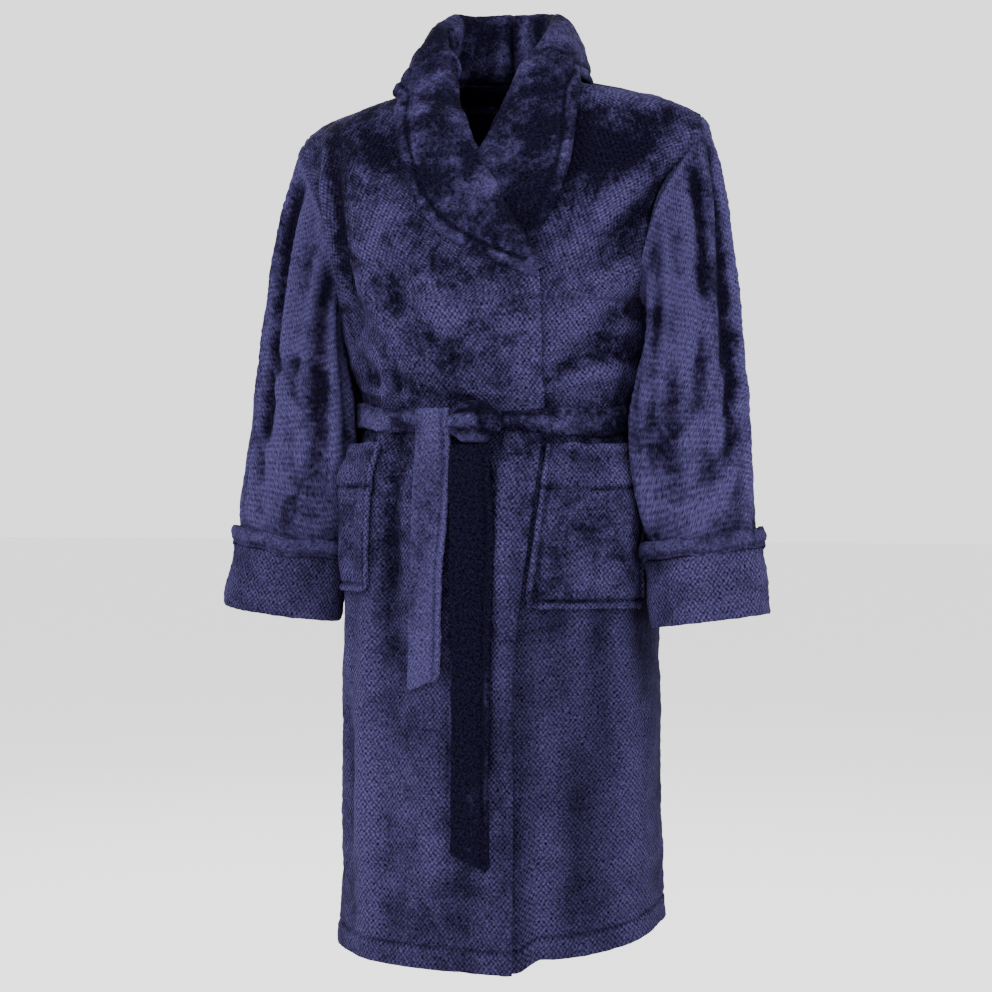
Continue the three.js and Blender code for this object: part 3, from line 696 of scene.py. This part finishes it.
for side, word in ((-1, "right"), (1, "left")):
    angle, z, distance = front_grid(side)
    lap = lap_on(side, angle, z)
    below = 1 - smooth(V_Z - 4, V_Z, z)
    stitched = groove(distance, FACING_WIDTH, 1.8, 1.3) * (1 - smooth(WAIST_Z - 90, WAIST_Z - 40, z))
    rolled = 2.6 * np.exp(-((distance - 8) / 6) ** 2) * below
    face, lie_and_shade_share = panel_face(angle, z, lap + stitched + rolled)
    face = hung(face, angle, z)
    piece = cloth(f"{word}_front_panel", face, FABRIC, PLUSH, "robe", side=side, lie_and_shade=lie_and_shade_share[0],
                  unrest=lie_and_shade_share[1], reverse=REVERSE, plan=skin(angle, z),
                  soft=("hung", ["back_panel", "belt_waist"]))
    finished(f"{word}_front_panel")

# ---- Facings ----
# A strip of thin fleece inside each front, reverse side out. It is sewn to the front's edge and along
# its own inner edge, from the hem to the lapels.
FACING_PLY = 3
FACING_COLUMNS = 22
FACING_INSET = 4
LAYER_GAP = 1.2
facing_z = body_z[body_z < UNDERARM_Z]
for side, word in ((-1, "right"), (1, "left")):
    distance = (FACING_INSET + np.linspace(0, 1, FACING_COLUMNS) * FACING_WIDTH)[:, None] + 0 * facing_z
    z = facing_z[None, :] + 0 * distance
    angle = angle_at(front_edge(side, z) + side * distance, z)
    lap = lap_on(side, angle, z)
    inside = on_body(angle, z, drape(angle, z) + lap - LAYER_GAP)
    inside = hung(inside, angle, z)
    piece = cloth(f"{word}_front_facing", inside, FACING_PLY, REVERSE, "robe", side=side,
                  soft=("hung", [f"{word}_front_panel"]))
    finished(f"{word}_front_facing")

# ---- Sleeves ----
# One tube of fleece each, wide at the armhole and set in with a seam, falling forwards to the cuff.
# They hang in long soft folds and crumple at the elbow.
SEAM_GAP = 0.4
UNDERARM_EASE = 3.5
UNDERARM_LEAVE = np.array([75, -20, -210])
SHOULDER_LEAVE = np.array([115, -20, -300])
UNDERARM_ARRIVE = np.array([60, -60, -380])
SHOULDER_ARRIVE = np.array([60, -60, -560])
CUFF_SPREAD = 268
CUFF_WIDTH = {-1: 122, 1: 114}
CUFF_THICKNESS = 100
CUFF_FORWARD = 55
CUFF_TILT = 8
SLEEVE_DROP = 641
SLEEVE_SAG = np.array([-27, -16, 0])
SAG_AT = 0.52
SAG_SPREAD = 0.22
SLEEVE_RADIUS = 72
SLEEVE_LENGTH = 615
SLEEVE_SPLIT = 0.7 * np.pi
# shares of the sleeve's length at which its head is tucked inside the armhole
TUCKS = [-0.024, -0.017, -0.008, -0.004]


def armhole(side, turn):
    """The armhole's edge. Turn 0 is the shoulder point, a quarter turn the front, half the underarm."""
    z = (UNDERARM_Z + SHOULDER_Z) / 2 + np.cos(turn) * (SHOULDER_Z - UNDERARM_Z) / 2
    angle = armhole_angle(np.clip(z, UNDERARM_Z + 0.01, SHOULDER_Z - 0.01))
    return skin(np.where(np.sin(turn) >= 0, angle, np.pi - angle), z) * np.array([side, 1, 1])


def sleeve_line(side, turn, t):
    """The sleeve's inside: one cubic path for each turn, from the armhole at t 0 to the cuff at t 1."""
    outer = ((1 + np.cos(turn)) / 2)[..., None]
    start = SEAM_GAP + UNDERARM_EASE * (1 - outer)
    a = armhole(side, turn) + np.concatenate([side * start, 0 * start, 0 * start - 0.5], -1)
    b = np.stack([side * (CUFF_SPREAD + np.cos(turn) * CUFF_WIDTH[side] / 2),
                  -CUFF_FORWARD - np.sin(turn) * CUFF_THICKNESS / 2,
                  -SLEEVE_DROP + np.cos(turn) * CUFF_TILT], -1)
    mirror = np.array([side, 1, 1])
    leave = (UNDERARM_LEAVE + (SHOULDER_LEAVE - UNDERARM_LEAVE) * outer) * mirror
    arrive = (UNDERARM_ARRIVE + (SHOULDER_ARRIVE - UNDERARM_ARRIVE) * outer) * mirror
    t = t[..., None]
    middle = np.exp(-((t - SAG_AT) / SAG_SPREAD) ** 2) * smooth(0, 0.2, t)
    return cubic(t, a, leave, b, arrive) + (1 - outer) * middle * SLEEVE_SAG * mirror


# across the sleeve from its outer line towards the front, and down it, start to end
SLEEVE_FOLDS = {
    1: [((10, -20), (30, -520), 14, 7, 10), ((48, -10), (70, -500), 13, 6, -8),
        ((84, -24), (108, -480), 12, 6, 6), ((28, -60), (52, -420), 10, -6, -6),
        ((66, -60), (92, -400), 10, -5, 6), ((112, -40), (140, -400), 12, 5, 6),
        ((46, -330), (120, -396), 13, 6, 8), ((48, -400), (110, -452), 13, -5, 8),
        ((40, -430), (140, -520), 13, 5, 6), ((-40, -40), (-30, -520), 14, 6, 8),
        ((-84, -40), (-70, -540), 14, 5, -8), ((150, -90), (60, -300), 12, 4, 6),
        ((150, -50), (166, -440), 13, 7, 6), ((186, -130), (180, -480), 13, 6, 4)],
    -1: [((8, -20), (22, -540), 15, 8, 12), ((46, -8), (58, -540), 14, 7, 10),
         ((86, -14), (96, -520), 13, 6, 8), ((26, -60), (42, -500), 10, -6, 8),
         ((68, -50), (78, -470), 10, -5, 6), ((124, -50), (120, -420), 13, 6, 8),
         ((50, -300), (118, -350), 12, 5, 6), ((52, -380), (120, -440), 13, 5, 6),
         ((150, -230), (60, -330), 10, -4, 4), ((-36, -40), (-30, -540), 15, 6, -8),
         ((-84, -40), (-76, -500), 14, 5, 8), ((160, -50), (184, -430), 13, 7, 8),
         ((204, -120), (214, -480), 14, 6, 6), ((54, -470), (110, -530), 12, 4, 4)]}


# across the sleeve, down it, the two radii and the strength of each area of painted light and shade,
# mostly stripes along the long folds
SLEEVE_FOLD_SHADES = {
    1: [(24, -130, 13, 130, 0.25), (58, -170, 16, 150, -0.45), (98, -170, 13, 140, 0.3),
        (140, -200, 18, 130, -0.35), (110, -340, 80, 50, -0.12), (70, -460, 80, 60, 0.25),
        (186, -380, 30, 120, -0.3)],
    -1: [(42, -260, 16, 210, -0.4), (88, -330, 17, 190, 0.35), (132, -220, 20, 130, -0.35),
         (176, -170, 16, 110, 0.2), (130, -470, 80, 60, 0.15), (222, -330, 22, 140, -0.35)]}


def around(turn):
    """Millimetres round the sleeve from its outer line, more towards the front, split at the back."""
    return ((turn + SLEEVE_SPLIT) % (2 * np.pi) - SLEEVE_SPLIT) * SLEEVE_RADIUS


def sleeve_folds(side, turn, t):
    """How far the sleeve's cloth stands off its plain shape."""
    total = sum(crease(around(turn), -t * SLEEVE_LENGTH, fold) for fold in SLEEVE_FOLDS[side])
    at = sleeve_line(side, turn, t)
    total = total + 1.2 * mottle(at, 95, 21 + side) + 0.5 * mottle(at, 38, 24 + side)
    ends = smooth(0, 0.07, t) * (1 - 0.85 * smooth(0.80, 0.93, t))
    seam_roll = 2.2 * np.exp(-((t - 0.018) / 0.014) ** 2)
    fullness = 3.5 * np.sin(turn) * np.exp(-((t - 0.03) / 0.05) ** 2)
    return total * ends + (seam_roll + fullness)


def sleeve_point(side, turn, t, out):
    """The sleeve moved out along its normal, which comes from small steps round it and down it."""
    round_step = sleeve_line(side, turn + 0.05, t) - sleeve_line(side, turn - 0.05, t)
    down_step = sleeve_line(side, turn, t + 0.01) - sleeve_line(side, turn, t - 0.01)
    return sleeve_line(side, turn, t) + unit(np.cross(round_step, down_step)) * side * out[..., None]


def above_end(turn, height):
    """The share of the way down the sleeve that is a height above its end, at each turn."""
    longer_outside = (UNDERARM_ARRIVE[2] - SHOULDER_ARRIVE[2]) * (1 + np.cos(turn)) / 2
    return 1 - height / (-UNDERARM_ARRIVE[2] + longer_outside)


TUBE_TURNS = 150
CUFF_DEPTH = 90
BAND_DEPTH = 23
CUFF_PLY = 5
CUFF_GAP = 0.8
BAND_PLY = 6
BAND_STAND = 4.6

for side, word in ((-1, "right"), (1, "left")):
    arm = f"{word}_arm"
    turn = (np.arange(TUBE_TURNS) * 2 * np.pi / TUBE_TURNS)[:, None]
    t = np.concatenate([TUCKS, spaced(SLEEVE_LENGTH, CLOTH_PITCH) / SLEEVE_LENGTH])[None, :]
    turn, t = np.broadcast_arrays(turn, t)
    folds = sleeve_folds(side, turn, t)
    pile = fluff(sleeve_line(side, turn, t), 12)
    # painted light and shade: stripes along the long folds, and fold ridges lighter and hollows darker
    fold_shades = toned(around(turn), -t * SLEEVE_LENGTH, SLEEVE_FOLD_SHADES[side])
    tucked = 2.5 * (t < 0) + FABRIC * (t < -0.01)
    face = sleeve_point(side, turn, t, FABRIC + (folds + pile) * smooth(0, 0.02, t) - tucked)
    sleeve = cloth(f"{word}_sleeve", face, FABRIC, BRUSHED, None, side=side, closed=True,
                   lie_and_shade=fold_light_share(folds, 4.5) + fold_shades, unrest=0.85,
                   reverse=REVERSE, plan=sleeve_line(side, turn, t),
                   soft=("hung", [f"{word}_front_panel", "back_panel"]))
    finished(f"{word}_sleeve")
    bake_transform(sleeve)

    # Turned-back cuffs: the end of the sleeve folded up over itself and stitched under a rolled band.
    height = np.linspace(CUFF_DEPTH - BAND_DEPTH + 4, -2, 26)[None, :]
    turn_cuff = turn[:, :1] + 0 * height
    t = above_end(turn_cuff, height)
    ripple = 1.3 * mottle(sleeve_line(side, turn_cuff, t), 60, 31 + side)
    pile = fluff(sleeve_line(side, turn_cuff, t), 13)
    bell = 2.0 * (1 - smooth(0, 60, height))
    face = sleeve_point(side, turn_cuff, t, FABRIC + CUFF_GAP + CUFF_PLY + 1 + bell + ripple + pile)
    # painted light and shade: the ripples' crests lighter and their hollows darker
    cuff = cloth(f"{word}_cuff", face, CUFF_PLY, PLUSH, arm, side=side, closed=True,
                 lie_and_shade=0.72 + 0.1 * ripple, unrest=0.45, soft=("folded", [f"{word}_sleeve"]))
    finished(f"{word}_cuff")

    # The stitched bands along the top of the cuffs: thick rolled edges that stand proud of the sleeve.
    wave = 2.0 * np.sin(3 * turn[:, :1] + side) + 1.2 * np.sin(7 * turn[:, :1] + 2 * side)
    height = np.linspace(CUFF_DEPTH, CUFF_DEPTH - BAND_DEPTH, 13)[None, :] + wave
    turn_band = turn[:, :1] + 0 * height
    t = above_end(turn_band, height)
    ripple = 1.6 * mottle(sleeve_line(side, turn_band, t), 48, 41 + side)
    across = np.linspace(-1, 1, 13)[None, :]
    dome = 5.5 * np.sqrt(np.clip(1 - across**2, 0, 1)) - 2.2 * np.exp(-((across - 0.45) / 0.16) ** 2)
    pile = 0.5 * mottle(sleeve_line(side, turn_band, t), FLUFF_SIZE, 14)
    face = sleeve_point(side, turn_band, t, FABRIC + CUFF_GAP + BAND_STAND + dome + ripple + pile)
    # painted light and shade: the top of the rolled band lighter and its stitched hollow darker
    band = cloth(f"{word}_cuff_band", face, BAND_PLY, SHAGGY, arm, side=side, closed=True,
                 lie_and_shade=0.12 + 0.10 * dome, unrest=0.5, soft=("folded", [f"{word}_cuff"]))
    finished(f"{word}_cuff_band")

# ---- Shawl collar ----
# Two halves of doubled fleece, joined at the centre back: each runs from its tip up the roll line and
# round the neck, where it stands up and falls over, with a ridge of stitching along its outer edge.
LAPEL_OUTER = {-1: [(0, -CROSSING + 3, V_Z - 6), (0.2, -20, -228), (0.4, 34, -196), (0.6, 70, -148),
                    (0.8, 94, -84), (1, 106, -27)],
               1: [(0, -CROSSING + 3, V_Z - 6), (0.2, 10, -240), (0.4, 68, -206), (0.6, 98, -158),
                   (0.8, 113, -100), (1, 114, -32)]}
# at the neck: angle, height of the roll, lean, height of the outer edge, tuck under the front
NECK_SECTIONS = [
    (37, 22, 0.04, -20, 6), (48, 36, 0.06, -12, 3), (66, 60, 0.1, -6.5, 0), (92, 78, 0.17, -5.5, 0),
    (120, 88, 0.18, -7, 0), (150, 93, 0.14, -14, 0), (180, 94, 0.10, -18, 0)]
ROLL_RADIUS = 6.9
LEG_REACH = 9
NECK_SEAM = 5.2
COLLAR_PLY = 7


def collar_rails(side):
    """Six rails of points along one collar half: under edge, leg, roll, fall, bulge and outer edge."""
    def over(x, z, out):
        """A place on the body at a distance out, past the lap where this half lies on it."""
        angle = angle_at(side * x, np.asarray(z, float))
        return on_body(angle, z, out + lap_on(side, angle, z))

    rails = []
    for share in np.linspace(0, 1, 11):
        z = V_Z + 4 + (-14 - V_Z - 4) * share
        x = -roll_edge(z)
        out_x, out_z = through(LAPEL_OUTER[side], share)
        leg, fall = FABRIC / 2 - ROLL_RADIUS, FABRIC / 2 + ROLL_RADIUS
        rails.append([over(x + LEG_REACH, z - 4, leg), over(x, z, leg),
                      over(x - ROLL_RADIUS - 1, z + 2, FABRIC / 2), over(x, z, fall),
                      over((x + out_x) / 2, (z + out_z) / 2, fall + np.sin(np.pi * share)),
                      over(out_x, out_z, fall)])
    centre = np.array([0, 2, NECK_SEAM])
    for degrees, rise, lean, edge, tuck in NECK_SECTIONS:
        turn = side * np.radians(degrees)
        rise = rise + (5 if side < 0 else -5) * np.sin(np.radians(degrees)) + (5 if degrees > 100 else 0)
        seam = skin(turn, 0) * [1, 1, 0] + [0, 0, NECK_SEAM]
        seam = seam + unit(centre - seam) * tuck
        top = (seam + (centre - seam) * lean) * [1, 1, 0] + [0, 0, rise]
        away = unit((top - centre) * [1, 1, 0])
        lap = lap_on(side, turn, edge)
        outer = on_body(turn, edge, lap + FABRIC + LAYER_GAP + COLLAR_PLY / 2 + 1)
        bulge = top + (outer - top) * 0.45 + away * 12 + [0, 0, 10]
        rails.append([nape(seam), top - away, top + away * (ROLL_RADIUS - 1) + [0, 0, ROLL_RADIUS],
                      top + away * (2 * ROLL_RADIUS + 2), bulge, outer])
    return np.array(rails)


def even_curve(points, at):
    """Centripetal Catmull-Rom curves through the first axis of an array of points, at shares 0 to 1."""
    first = 2 * points[:1] - points[1:2]
    last = 2 * points[-1:] - points[-2:-1]
    p = np.concatenate([first, points, last])
    gap = np.maximum(np.linalg.norm(np.diff(p, axis=0), axis=-1, keepdims=True) ** 0.5, 1e-4)
    place = np.asarray(at) * (len(points) - 1)
    i = np.minimum(place.astype(int), len(points) - 2)
    w = (place - i).reshape(-1, *[1] * (points.ndim - 1))
    d0, d1, d2 = gap[i], gap[i + 1], gap[i + 2]
    p0, p1, p2, p3 = p[i], p[i + 1], p[i + 2], p[i + 3]
    leave = ((p1 - p0) / d0 - (p2 - p0) / (d0 + d1) + (p2 - p1) / d1) * d1
    arrive = ((p2 - p1) / d1 - (p3 - p1) / (d1 + d2) + (p3 - p2) / d2) * d1
    return cubic(w, p1, leave, p2, arrive)


COLLAR_STITCH = 16
along_collar = np.linspace(0, 1, 185)
stretch_columns = [7, 5, 5, 18, 22]
across_collar = np.unique(np.concatenate(
    [np.linspace(k / 5, (k + 1) / 5, count + 1) for k, count in enumerate(stretch_columns)]))
for side, word in ((-1, "right"), (1, "left")):
    lengthways = even_curve(collar_rails(side), along_collar)
    middle = even_curve(lengthways.transpose(1, 0, 2), across_collar).transpose(1, 0, 2)
    at_back = along_collar[:, None] > 0.9
    middle[..., 0] = np.where(at_back & (side * middle[..., 0] < 0.2), side * 0.2, middle[..., 0])
    facing_out = np.sign(-grid_normals(middle[:60], False)[..., 1].mean())
    normal = grid_normals(middle, False) * facing_out
    normal[-1, :, 0] = 0
    step = np.linalg.norm(np.diff(middle, axis=1), axis=-1)
    from_edge = np.concatenate([np.cumsum(step[:, ::-1], 1)[:, ::-1], 0 * step[:, :1]], 1)
    neck = smooth(0.52, 0.66, along_collar)[:, None]
    stand = 1 - smooth(0.16, 0.30, across_collar)[None, :]
    gathers = 1.7 * mottle(middle * np.array([1, 1, 0.15]), 21, 51) * neck * stand
    swell = (1.3 * mottle(middle, 70, 52) + 0.7 * mottle(middle, 30, 53)) * smooth(0, 12, from_edge)
    puffed = 1.3 * np.exp(-((from_edge - 8) / 6) ** 2) + groove(from_edge, COLLAR_STITCH, 2.6, 2.8)
    puffed = puffed * smooth(0.02, 0.06, along_collar)[:, None]
    rise = gathers + swell + puffed + fluff(middle, 15)
    rise[-1] = rise[-1] * 0 + gathers[-1]
    face = middle + normal * (COLLAR_PLY / 2 + rise)[..., None]
    # painted light and shade: the swells, puffed edge and gathers lighter and the stitched groove darker
    collar = cloth(f"{word}_collar", face, COLLAR_PLY, SHAGGY, "robe", side=facing_out, square_end=True,
                   lie_and_shade=0.25 + 0.14 * (swell + puffed + gathers), unrest=0.9,
                   soft=("folded", [f"{word}_front_panel", "back_panel"]))
    finished(f"{word}_collar")

# ---- Neck tape ----
# A narrow smooth tape inside the back of the neck. It is stitched over the seam that joins the collar
# to the back, so that the raw edges don't show.
TAPE_PLY = 2
TAPE_GAP = 0.6
tape_angle = np.radians(np.linspace(110, 250, 90))[:, None]
tape_z = np.linspace(-14, -1, 8)[None, :] + 0 * tape_angle
tape_face = nape(on_body(tape_angle + 0 * tape_z, tape_z, 0 * tape_z - TAPE_GAP))
tape = cloth("neck_tape", tape_face, TAPE_PLY, REVERSE, "robe", soft=("stretched", ["back_panel"]))
finished("neck_tape")

# ---- Patch pockets ----
# Sewn down along the sides and bottom, with a deep stitched hem at the mouth and rounded corners.
POCKET_TOP = -440
POCKET_DEPTHS = {-1: 174, 1: 190}
POCKET_PLY = 4.6
POCKET_ROOM = {-1: 11, 1: 7}
POCKET_HEM = 50
POCKET_SEAM = 10
CORNER = 16
POCKET_WIDTH = 165
POCKET_INNER = np.radians(-34)
POCKET_SIDE = {-1: np.radians(-86), 1: np.radians(72)}
POCKET_CLEAR = 3
for side, word in ((-1, "right"), (1, "left")):
    pocket_height = POCKET_DEPTHS[side]
    u = np.linspace(0, 1, 56)[:, None]
    down = spaced(pocket_height, CLOTH_PITCH * 0.8, (POCKET_HEM, pocket_height - POCKET_SEAM))[None, ::-1]
    from_foot = np.clip((pocket_height - down) / CORNER, 0, 1)
    drawn_in = CORNER * (1 - np.sqrt(1 - (1 - from_foot) ** 2)) / POCKET_WIDTH
    share = drawn_in + u * (1 - 2 * drawn_in)
    droop = (8 * u**2 if side < 0 else 3 * np.sin(np.pi * u)) * (1 - down / pocket_height)
    z = POCKET_TOP - down - droop
    inner = POCKET_INNER if side < 0 else angle_at(right_edge(z) + POCKET_CLEAR, z)
    angle = inner + share * (POCKET_SIDE[side] - inner)
    room = POCKET_ROOM[side] * np.sin(np.pi * u) ** 0.7 * np.sin(np.pi / 2 * (1 - down / pocket_height))
    from_side = POCKET_WIDTH * np.minimum(share, 1 - share)
    foot = pocket_height - down
    ridge = 2.6 * np.exp(-((np.minimum(from_side, foot) - 4) / 4) ** 2)
    stitched = np.minimum(groove(from_side, POCKET_SEAM, 2.2, 3.0), groove(foot, POCKET_SEAM, 2.2, 3.0))
    hem = groove(down, POCKET_HEM, 2.2, 3.2) + groove(down, 16, 6, 1.8)
    hem = hem + 1.4 * (1 - smooth(POCKET_HEM - 6, POCKET_HEM, down))
    base = FABRIC + LAYER_GAP + lap_on(side, angle, z)
    at = skin(angle, z)
    slack = 1.3 * mottle(at, 55, 61 + side) * np.sin(np.pi * u) + fluff(at, 16)
    relief = ridge + stitched + hem + slack
    face = on_body(angle, z, drape(angle, z) + base + room + POCKET_PLY + relief)
    # painted light and shade: the pocket's ridges lighter and its stitched grooves darker
    pocket = cloth(f"{word}_pocket", face, POCKET_PLY, PLUSH, "robe", side=side,
                   lie_and_shade=0.60 + 0.11 * relief, unrest=0.75, reverse=REVERSE,
                   soft=("hung", [f"{word}_front_panel"]))
    finished(f"{word}_pocket")

# ---- Belt ----
# A doubled strip of fleece round the waist. It dips towards the knot, where the tie draws it narrow.
BELT_WIDTH = 38
BELT_PLY = 7
BELT_BASE = FABRIC + 2
BELT_DIP = 12
BELT_RADIUS = 150
BELT_COLUMNS = 330
BELT_ROWS = 17
KNOT_CENTRE = 8
KNOT_SIZE = np.array([68, 38, 48])
KNOT_SQUARENESS = 0.78
KNOT_PLY = 9
KNOT_FOLDS = [((-34, 14), (34, 18), 6, -3.4, 2), ((-34, -12), (30, -20), 6, -3.4, -3),
              ((10, 22), (22, -24), 5, -3.2, 3), ((-26, 2), (6, -2), 12, 3.0, 0)]


def belt_height(angle):
    """The height of the belt's middle: it dips at the front, and hangs lower on the wearer's left."""
    lower_left = 5 * np.sin(angle) * smooth(-0.2, 0.2, np.cos(angle))
    return WAIST_Z - BELT_DIP * np.cos(angle / 2) ** 6 - lower_left


def belt_out(angle):
    """The belt lies on the right front and comes down to the left front past its edge."""
    z = belt_height(angle)
    edge = angle_at(right_edge(z), z)
    return BELT_BASE + lap_at(angle, z) * (1 - smooth(edge + 0.07, edge + 0.59, angle))


knot_z = belt_height(0) - 4
grip = 0.8 * KNOT_SIZE[0] / 2
u = np.linspace(0, 1, BELT_COLUMNS)[:, None]
start = angle_at(KNOT_CENTRE + grip, knot_z)
end = angle_at(KNOT_CENTRE - grip, knot_z) + 2 * np.pi
angle = start + u * (end - start)
turned = np.where(angle > np.pi, angle - 2 * np.pi, angle)
across = np.linspace(-1, 1, BELT_ROWS)[None, :]
from_knot = BELT_RADIUS * np.minimum(angle - start, end - angle)
narrowed = 1 - 0.1 * smooth(-2, 0, turned) * (turned < 0)
half_width = BELT_WIDTH / 2 * (0.62 + 0.38 * smooth(4, 62, from_knot)) * narrowed
bend = 1.6 * np.sin(turned * 5.1 + 0.6) + 0.9 * np.sin(turned * 11.7)
z = belt_height(turned) + bend * smooth(0, 60, from_knot) + across * half_width
out = belt_out(turned)
at = skin(turned + 0 * z, z)
pleats = 2.0 * np.sin(across * 4.2 + 1.2 + turned) * (1 - smooth(20, 110, from_knot))
rolled = 2.2 * (1 - across**2) - 1.2 * np.exp(-((across - 0.62) / 0.12) ** 2) * smooth(30, 90, from_knot)
swell = 1.0 * mottle(at, 52, 71) + 0.45 * mottle(at, FLUFF_SIZE, 17)
face = on_body(turned + 0 * z, z, out + BELT_PLY + rolled + pleats + swell)
# painted light and shade: rolls, pleats and swells lighter on top and darker in their hollows, and darker
# next to the knot where the tie pinches it; also darker towards the wearer's left
belt_lie_and_shade = 0.50 - 0.22 * np.sin(turned) + 0.09 * (rolled + pleats + swell - 1.5)
belt_lie_and_shade = belt_lie_and_shade - 0.35 * np.exp(-(from_knot / 38) ** 2)
belt = cloth("belt_waist", face, BELT_PLY, SASH, "robe", lie_and_shade=belt_lie_and_shade,
             soft=("folded", ["back_panel", "right_front_panel", "left_front_panel"]))
finished("belt_waist")

# The knot: the belt's two ends crossed and pulled tight, a soft lump creased where the turns meet.
knot_out = LAP_SKIRT + BELT_BASE - 1 + KNOT_SIZE[1] / 2
knot_middle = on_body(angle_at(KNOT_CENTRE, knot_z), knot_z, knot_out)
turn = np.linspace(0, 2 * np.pi, 121)[:-1, None]
rise = np.linspace(-np.pi / 2 + 0.02, np.pi / 2 - 0.02, 70)[None, :]
ball = np.stack([np.cos(rise) * np.sin(turn), -np.cos(rise) * np.cos(turn), np.sin(rise) + 0 * turn], -1)
ball = np.sign(ball) * np.abs(ball) ** KNOT_SQUARENESS
shape = ball * KNOT_SIZE / 2
kx, kz = shape[..., 0], shape[..., 2]
turns = sum(crease(kx, kz, fold) for fold in KNOT_FOLDS)
lump = turns + 1.5 * mottle(shape, 20, 81) + 0.5 * mottle(shape, FLUFF_SIZE, 18)
tapered = np.stack([1 + 0 * kx, 1 + 0 * kx, 1 - 0.30 * smooth(8, 34, np.abs(kx))], -1)
face = knot_middle + shape * tapered + unit(ball) * lump[..., None]
# painted shade in the creases between the turns; the knot is also made darker towards the wearer's left
# and towards its top
knot_lie_and_shade = 0.42 + 0.10 * turns - 0.012 * kx - 0.008 * kz
knot = cloth("belt_knot", face, KNOT_PLY, SASH, "robe", closed=True, lie_and_shade=knot_lie_and_shade)
finished("belt_knot")

# The two hanging ends: the short one comes over the top of the belt beside the knot, and the long one
# from below the knot. Each is a doubled strip with a stitched edge, and hangs against the skirt.
TAIL_REST = 0.9
SKIRT_FLARE = WAIST_Z - 30


def hanging_end(name, body, middle_line, half_line, top, length, slant, forward, reach, seed, shade):
    """One hanging end. Its middle and half width run through stations down its length. Its foot slants,
    and its top stands forward over a reach, where it leaves the knot."""
    width = 2 * half_line[0][1]
    across = (spaced(width, 2.6) / width * 2 - 1)[:, None]
    down = spaced(length, CLOTH_PITCH * 0.8)[None, ::-1]
    rounded_end = 1 - 0.16 * smooth(length - 9, length, down) ** 2
    half = through(half_line, down)[..., 0] * rounded_end
    x = through(middle_line, down)[..., 0] + across * half
    z = top - down - slant * across * smooth(length - 60, length, down)
    flare = np.minimum(z, SKIRT_FLARE)
    held = forward * smooth(top - reach, top - 15, z)
    angle = angle_at(x, flare)
    folds = drape(angle, np.minimum(z, WAIST_Z - 60)) * smooth(40, 120, down)
    rest = on_body(angle, flare, folds + LAP_SKIRT + FABRIC + TAIL_REST + held)
    at = np.stack([x, rest[..., 1], z], -1)
    edge = (1 - across) * half
    rim = np.exp(-((edge - 4) / 4) ** 2)
    stitched = groove(edge, 9, 2.0, 3.0) + 1.8 * rim
    stitched = stitched + groove(length - down, 9, 1.8, 1.6)
    twist = 2.4 * np.sin(across * 1.6 + down / 60 + seed) * smooth(30, 120, down)
    relief = stitched + 1.4 * mottle(at, 60, seed) + 0.5 * mottle(at, FLUFF_SIZE, seed + 1)
    relief = relief + 2.2 * np.cos(across * 3.0) * (1 - smooth(10, 90, down))
    at[..., 1] -= BELT_PLY + relief + 2.4 + twist
    # painted highlight along the rolled rim, and painted shade in the stitched grooves and hollows
    end = cloth(name, at, BELT_PLY, SASH, body, lie_and_shade=shade + 0.09 * (relief + twist) + 0.22 * rim,
                unrest=0.6, soft=("hung", ["right_front_panel"]))
    finished(name)


hanging_end("belt_tail_short", "short_end",
            middle_line=[(0, -42), (60, -43), (170, -48), (330, -54)],
            half_line=[(0, 23), (70, 24), (180, 22), (330, 22)],
            top=belt_height(0) + 17, length=322, slant=-7, forward=15, reach=90, seed=91, shade=0.95)
hanging_end("belt_tail_long", "long_end",
            middle_line=[(0, 6), (90, 6), (220, 5), (495, 5)],
            half_line=[(0, 25), (90, 27), (220, 24), (495, 25)],
            top=knot_z - KNOT_SIZE[2] / 2 + 3, length=484, slant=8, forward=18, reach=90, seed=95,
            shade=-0.42)

# ---- Belt loops ----
# A narrow strip of the sash's fleece on each side seam. It is sewn down above and below the belt, and
# arches over it.
LOOP_WIDTH = 12
LOOP_PLY = 2.2
LOOP_RADIUS = 120
LOOP_BEHIND = np.radians(4)
LOOP_EXTRA = 9
for side, word in ((-1, "right"), (1, "left")):
    u = np.linspace(0, 1, 8)[:, None]
    fall = np.linspace(-1, 1, 60)[None, :]
    angle = side * (side_seam(WAIST_Z) + LOOP_BEHIND) + (u - 0.5) * LOOP_WIDTH / LOOP_RADIUS
    z = belt_height(angle) + fall * (BELT_WIDTH / 2 + LOOP_EXTRA)
    arch = (BELT_PLY + 1.5) * (1 - smooth(0.68, 0.86, np.abs(fall)))
    out = drape(angle, z) * smooth(0.7, 1, np.abs(fall)) + FABRIC + 0.8 + arch + LOOP_PLY
    loop = cloth(f"{word}_belt_loop", on_body(angle, z, out), LOOP_PLY, SASH, "robe", lie_and_shade=0.1,
                 soft=("folded", ["belt_waist", "back_panel"]))
    finished(f"{word}_belt_loop")

bpy.context.view_layer.update()
